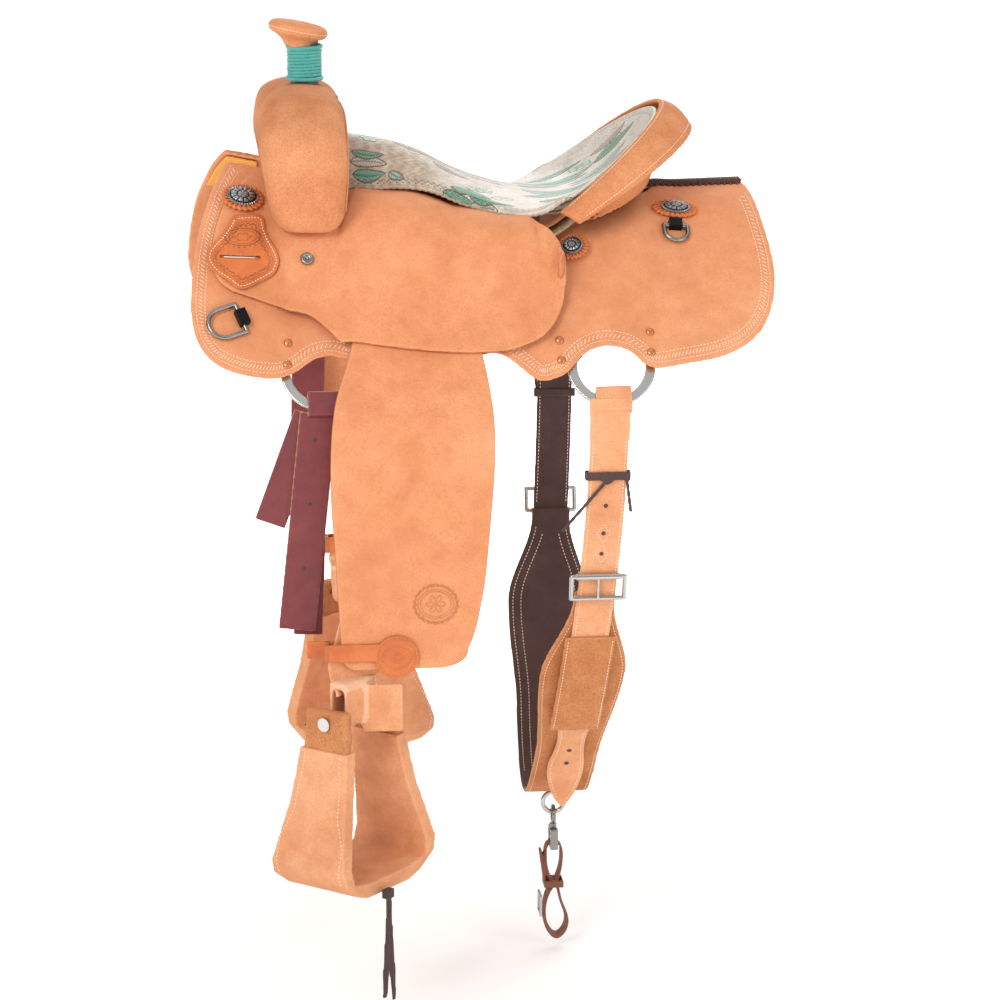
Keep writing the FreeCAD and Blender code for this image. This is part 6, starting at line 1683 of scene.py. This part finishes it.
for side_ in (-1, 1):
    tg, bt_ = [], []
    for i in range(30):
        z = -196.0 - 50.0 * i / 29.0
        zl = min(z, -206)
        y = loop_y(zl) - 0.20 * max(0, z + 222) * (1 if z > -222 else 0)
        s_ = OFFS + float(np.interp(-max(min(z, -228), -772), -zz, ds)) - max(0, z + 228)
        x = loop_x_at(max(0, s_ if side_ < 0 else LCL - s_))
        hw_ = 23.4 * (1 if i else 0.94)
        oo = 7.2 + 2.2 * (1 - smooth(-196, -232, z) if False else 0)
        lift_ = 6.5 + 4.0 * max(0.0, min(1.0, (z + 232) / 20.0))
        ra, rb = [], []
        for j in range(14):
            u = (j / 13.0 * 2 - 1) * hw_
            ra.append(np.array((x + u, side_ * (y + lift_ + 0.8), z)) * MM)
            rb.append(np.array((x + u, side_ * (y + lift_ - 3.4), z)) * MM)
        tg.append(ra)
        bt_.append(rb)
    if side_ < 0:
        lap = slab("billet_lap_near", tg, bt_, STIRM)
    else:
        lap = slab("billet_lap_far", [r[::-1] for r in tg], [r[::-1] for r in bt_], STIRM)
    finish_piece(lap, "flank_set", ())
# free tail of the near billet hanging below the keeper
TW = [(0, 21), (30, 20), (52, 17), (76, 18), (104, 22), (126, 21.5), (146, 16), (160, 9), (169, 2.2)]
P0z = -618.0
ty, tz = loop_y(P0z) + 6.4, P0z
tg, bt_ = [], []
tail_c = []
for i in range(86):
    L_ = 169.0 * i / 85.0
    dd = 2.0
    if i:
        st_len = 169.0 / 85.0
        sl = math.atan2(-(loop_y(max(tz - 2, -770)) - loop_y(tz)), 2.0) if tz > -700 else ang_
        ang_ = sl if tz > -700 else ang_ * 0.94
        ty -= st_len * math.sin(ang_)
        tz -= st_len * math.cos(ang_)
    else:
        ang_ = 0.4
    s_ = OFFS + float(np.interp(min(-tz, 770), -zz, ds))
    x = loop_x_at(s_)
    nn_ = Vector((0, -math.cos(ang_), -math.sin(ang_)))
    tail_c.append((x, -ty, tz, nn_, catmull(TW, L_)))
    ra, rb = [], []
    for j in range(15):
        u = (j / 14.0 * 2 - 1) * catmull(TW, L_)
        c = Vector((x + u, -ty, tz))
        ra.append(np.array(c + nn_ * 1.4) * MM)
        rb.append(np.array(c - nn_ * 2.6) * MM)
    tg.append(ra)
    bt_.append(rb)
tail = slab("billet_tail", tg, bt_, STIRM)
finish_piece(tail, "flank_set", ())
tst = Bag()
for sgn in (-1, 1):
    P, N = [], []
    for x, y, z, n_, w_ in tail_c[14:82]:
        P.append(np.array(Vector((x + sgn * max(0.3, w_ - 3.4), y, z)) + n_ * 1.5) * MM)
        N.append(np.array(n_))
    tst.run(P, N, 4.4, 3.1, 0.5)
finish_piece(tst.obj("billet_tail_stitches", THREAD), "flank_set", ())
# the two holes of the tail are dark discs: painted shade inside the holes
tho = Bag()
for k in (38, 52):
    x, y, z, n_, w_ = tail_c[k]
    c = Vector((x, y, z)) + n_ * 1.7
    vs = [np.array(c) * MM]
    for rr, hh in ((3.0, 0.05), (3.5, -0.6)):
        for q in range(20):
            a = 2 * math.pi * q / 20
            vs.append(np.array(c + Vector((1, 0, 0)) * (rr * math.cos(a)) + n_.cross(Vector((1, 0, 0))) * (rr * math.sin(a)) + n_ * hh) * MM)
    tho.add(vs, [(0, 1 + q, 1 + (q + 1) % 20) for q in range(20)] + [(1 + q, 21 + q, 21 + (q + 1) % 20, 1 + (q + 1) % 20) for q in range(20)])
finish_piece(tho.obj("billet_tail_hole_shade_discs", DARK), "flank_set", ())

flst = Bag()


def strap_row(bv, offx, z0, z1, sd_, step=4.6, ln=3.3, r=0.55, from_in=False, width=None):
    P, N = [], []
    runs = []
    for i in range(260):
        z = z0 + (z1 - z0) * i / 259.0
        y = loop_y(z)
        s_ = OFFS + float(np.interp(-z, -zz, ds))
        s_ = s_ if sd_ < 0 else LCL - s_
        ox = width(z) if width else offx
        x = loop_x_at(s_) + ox
        n = Vector((0, y, (z + 420) * 0.9)).normalized()
        n.y *= sd_ * 1.0
        n = Vector((0, sd_ * abs(n.y), n.z))
        p = Vector((x, sd_ * y, z))
        if from_in:
            o_, d = p - n * 30, n
        else:
            o_, d = p + n * 40, -n
        hit = bv.ray_cast(o_ * MM, d, 0.07)
        if hit[0] is not None and (not P or (np.linalg.norm(np.array(hit[0]) - P[-1]) < 0.006)):
            P.append(np.array(hit[0]))
            nv = np.array(hit[1])
            N.append(nv)
        elif len(P) > 6:
            runs.append((P, N))
            P, N = [], []
    if len(P) > 6:
        runs.append((P, N))
    for P, N in runs:
        flst.run(P, N, step, ln, r)


bvb, bvf, bvk2 = tree_of(fb), tree_of(fc), tree_of(kpr)


def cw(z, sgn, ins_):
    """half width of the cinch at height z"""
    s_ = float(np.interp(-z, -zz, ds))
    s0 = float(np.interp(462, -zz, ds))
    q = (s_ - s0) / 110.0
    w = 52 + 56 * smooth(0, 1, q) if q < 1 else 108 - 26 * smooth(0.0, 1.0, (s_ - s0 - 110) / 150.0)
    return sgn * (w / 2 - ins_)


for sgn in (-1, 1):
    for sd_ in (-1, 1):
        strap_row(bvb, sgn * 20.0, -236, -600, sd_)
        strap_row(bvf, 0, -470, -768, sd_, width=lambda z, g=sgn: cw(z, g, 5.0))
        strap_row(bvf, 0, -470, -768, sd_, from_in=True, width=lambda z, g=sgn: cw(z, g, 6.0))
        strap_row(bvf, 0, -480, -768, sd_, from_in=True, width=lambda z, g=sgn: cw(z, g, 17.0))
        strap_row(bvb, sgn * 20.0, -236, -440, sd_, from_in=True)
        strap_row(bvk2, sgn * 28.0, -508, -638, sd_)
finish_piece(flst.obj("flank_stitches", THREAD), "flank_set", ())

# punched holes drawn as dark discs, painted shade inside the holes, with a ring of diamond stitches on the near billet
hl = Bag()
hs_ = Bag()
for z, ring in ((-366, True), (-393, True), (-300, False), (-330, False)):
    for sd_ in (-1, 1):
        y = loop_y(z)
        s_ = OFFS + float(np.interp(-z, -zz, ds))
        x = loop_x_at(s_ if sd_ < 0 else LCL - s_)
        hit = bvb.ray_cast(Vector((x * MM, sd_ * 0.4, z * MM)), Vector((0, -sd_, 0)), 0.3)
        if hit[0] is None:
            continue
        c, n = np.array(hit[0]), np.array(hit[1])
        up = np.array((0, 0, 1.0)) - n * n[2]
        up /= np.linalg.norm(up)
        rt = np.cross(up, n)
        vs = [c + n * 0.0004]
        for k in range(20):
            a = 2 * math.pi * k / 20
            vs.append(c + (rt * math.cos(a) + up * math.sin(a)) * 0.0026 + n * 0.0003)
        for k in range(20):
            a = 2 * math.pi * k / 20
            vs.append(c + (rt * math.cos(a) + up * math.sin(a)) * 0.0032 - n * 0.0006)
        hl.add(vs, [(0, 1 + k, 1 + (k + 1) % 20) for k in range(20)] + [(1 + k, 21 + k, 21 + (k + 1) % 20, 1 + (k + 1) % 20) for k in range(20)])
        if ring and sd_ < 0:
            for k in range(16):
                a0, a1 = 2 * math.pi * (k + 0.15) / 16, 2 * math.pi * (k + 0.8) / 16

                def dm(a):
                    q = abs(math.cos(a)) + abs(math.sin(a))
                    return c + (rt * math.cos(a) * 8.5 / q + up * math.sin(a) * 12.5 / q) * MM
                hs_.stitch(dm(a0), dm(a1), n, 0.0005)
finish_piece(hl.obj("billet_hole_shade_discs", DARK), "flank_set", ())
if hs_.n:
    finish_piece(hs_.obj("billet_hole_stitches", THREAD), "flank_set", ())

# holes of the latigo, drawn as dark discs: painted shade inside the holes
lh = Bag()
bvl = tree_of(lt)
for x, z in ((-207, -240), (-214, -320), (-222, -400)):
    hit = bvl.ray_cast(Vector((x * MM, -0.5, z * MM)), Vector((0, 1, 0)), 0.4)
    if hit[0] is None:
        continue
    c, n = np.array(hit[0]), np.array(hit[1])
    vs = [c + n * 0.0004]
    for rr, hh in ((0.0024, 0.0003), (0.003, -0.0006)):
        for k in range(20):
            a = 2 * math.pi * k / 20
            vs.append(c + np.array((math.cos(a), 0, math.sin(a))) * rr + n * hh)
    lh.add(vs, [(0, 1 + k, 1 + (k + 1) % 20) for k in range(20)] + [(1 + k, 21 + k, 21 + (k + 1) % 20, 1 + (k + 1) % 20) for k in range(20)])
if lh.n:
    finish_piece(lh.obj("latigo_hole_shade_discs", DARK), "latigo", ())

# ------------------------------------------------------------------ braided lacing behind the cantle
br = Bag()
for strand in range(4):
    pts = []
    for k in range(240):
        t = k / 239.0
        x = 232 + 120 * t
        a = 2 * math.pi * (t * 9 + strand / 4.0)
        z = zref(x, 0) + 6 + 2.2 + 3.2 * math.sin(2 * a)
        pts.append(np.array((x, 7.5 * math.sin(a), z)) * MM)
    br.tube(pts, 0.0022, 7)
for k in range(15):
    x = 237 + k * 8.0
    for sg in (-1, 1):
        pts = []
        for q in range(13):
            t = q / 12.0
            y = sg * (3 + 15 * t)
            z = zref(x, 0) + 6 + 1.2 + 1.6 * math.sin(math.pi * t) - 0.016 * y * y
            pts.append(np.array((x + 3.0 * sg * t, y, z)) * MM)
        br.tube(pts, 0.0017, 6)
finish_piece(br.obj("skirt_lacing_braid", LACE), "saddle", ["skirt_lacing"])

# ------------------------------------------------------------------ hardware kept from the frame, with its finish
for names, mat in ((("rigging_rings", "flank_buckles", "cinch_dee", "stirrup_bolt_left", "stirrup_bolt_right", "strainer_plate", "connector_buckle"), STEEL),
                   (("breast_dee_left", "breast_dee_right", "rear_dee_left", "rear_dee_right", "cinch_snap", "snap_swivel_eye"), NICKEL),
                   (("dee_clips",), BLACK), (("horn",), IRON)):
    for nm in names:
        o = NODES[nm]
        o.data.materials.clear()
        o.data.materials.append(mat)

# ------------------------------------------------------------------ stage, light, camera
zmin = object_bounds()
low = zmin[0][2] if hasattr(zmin[0], "__len__") else -0.99
bm = bmesh.new()
fl_z = low - 0.012
floor = make("floor", [(-9, -9, fl_z), (9, -9, fl_z), (9, 9, fl_z), (-9, 9, fl_z)], [(0, 1, 2, 3)], None)
fm = Mat("pale_glowing_floor")
fn = fm.noise(1.5, 3.0)
fm.set("Base Color", fm.ramp(fn, [(0.3, (0.86, 0.86, 0.86, 1)), (0.7, (0.9, 0.9, 0.9, 1))]))
fm.set("Roughness", 0.9)
# painted light: the floor glows, its emission rising with distance from 0.22 near the saddle to 1.0 further out; it
# lights the saddle from below and brightens the backdrop
fm.set("Emission Color", (1, 1, 1, 1))
pos_ = fm.n("ShaderNodeNewGeometry")
len_ = fm.n("ShaderNodeVectorMath")
len_.operation = "LENGTH"
fm.link(pos_.outputs["Position"], len_.inputs[0])
floor_glow = fm.n("ShaderNodeMapRange")
floor_glow.inputs["From Min"].default_value, floor_glow.inputs["From Max"].default_value = 1.25, 2.6
floor_glow.inputs["To Min"].default_value, floor_glow.inputs["To Max"].default_value = 0.22, 1.0
fm.link(len_.outputs["Value"], floor_glow.inputs["Value"])
fm.set("Emission Strength", floor_glow.outputs[0])
floor.data.materials.clear()
floor.data.materials.append(fm.m)

world = bpy.data.worlds.new("studio")
bpy.context.scene.world = world
world.use_nodes = True
world.node_tree.nodes["Background"].inputs[0].default_value = (1.0, 0.99, 0.98, 1)
wt = world.node_tree
bgn = wt.nodes["Background"]
bgn.inputs[1].default_value = 0.62
tcn, sep = wt.nodes.new("ShaderNodeTexCoord"), wt.nodes.new("ShaderNodeSeparateXYZ")
wt.links.new(tcn.outputs["Generated"], sep.inputs[0])
mad = wt.nodes.new("ShaderNodeMath")
mad.operation = "MULTIPLY_ADD"
mad.inputs[1].default_value, mad.inputs[2].default_value = 0.5, 0.5
wt.links.new(sep.outputs[2], mad.inputs[0])
rmp = wt.nodes.new("ShaderNodeValToRGB")
wt.links.new(mad.outputs[0], rmp.inputs[0])
els = rmp.color_ramp.elements
els[0].position, els[0].color = 0.0, (0.25, 0.25, 0.25, 1)
els[1].position, els[1].color = 1.0, (1.0, 1.0, 1.0, 1)
for ps_, vv in ((0.40, 0.45), (0.47, 0.06), (0.53, 0.08), (0.60, 0.9), (0.72, 0.25), (0.84, 1.3)):
    el = els.new(ps_)
    el.color = (vv, vv, vv, 1)
lpn, mxn = wt.nodes.new("ShaderNodeLightPath"), wt.nodes.new("ShaderNodeMix")
mxn.data_type = "RGBA"
wt.links.new(lpn.outputs["Is Glossy Ray"], mxn.inputs[0])
mxn.inputs[6].default_value = (1.0, 0.99, 0.98, 1)
wt.links.new(rmp.outputs[0], mxn.inputs[7])
mx2 = wt.nodes.new("ShaderNodeMix")
mx2.data_type = "RGBA"
wt.links.new(lpn.outputs["Is Camera Ray"], mx2.inputs[0])
wt.links.new(mxn.outputs[2], mx2.inputs[6])
mx2.inputs[7].default_value = (1.7, 1.7, 1.7, 1)
wt.links.new(mx2.outputs[2], bgn.inputs[0])


def area(name, loc, target, size, power, col=(1, 1, 1)):
    L = bpy.data.lights.new(name, "AREA")
    L.shape = "RECTANGLE"
    L.size, L.size_y = size
    L.energy = power
    L.color = col
    o = bpy.data.objects.new(name, L)
    bpy.context.collection.objects.link(o)
    o.location = loc
    o.rotation_euler = (Vector(target) - Vector(loc)).to_track_quat("-Z", "Y").to_euler()
    return o


area("key", (-1.9, -3.0, 2.0), (0, 0, -0.3), (1.5, 1.5), 68, (1, 0.985, 0.96))
area("fill", (2.6, -2.8, 0.9), (0, 0, -0.4), (2.2, 2.2), 27)
area("top", (0.0, 0.2, 2.8), (0, 0, 0), (2.4, 2.4), 12)
area("back", (0.6, 2.0, 1.2), (0, 0, -0.3), (2.0, 1.6), 22)

cam = bpy.data.cameras.new("camera")
cam.lens = 124.56
cam.sensor_width = 36.0
cam.clip_end = 50
co2 = bpy.data.objects.new("camera", cam)
bpy.context.collection.objects.link(co2)
co2.location = (-0.37625, -4.36448, 0.63228)
co2.rotation_euler = (Vector((0.044, 0, -0.380)) - Vector(co2.location)).to_track_quat("-Z", "Y").to_euler()
bpy.context.scene.camera = co2
bpy.context.scene.view_settings.view_transform = "Standard"

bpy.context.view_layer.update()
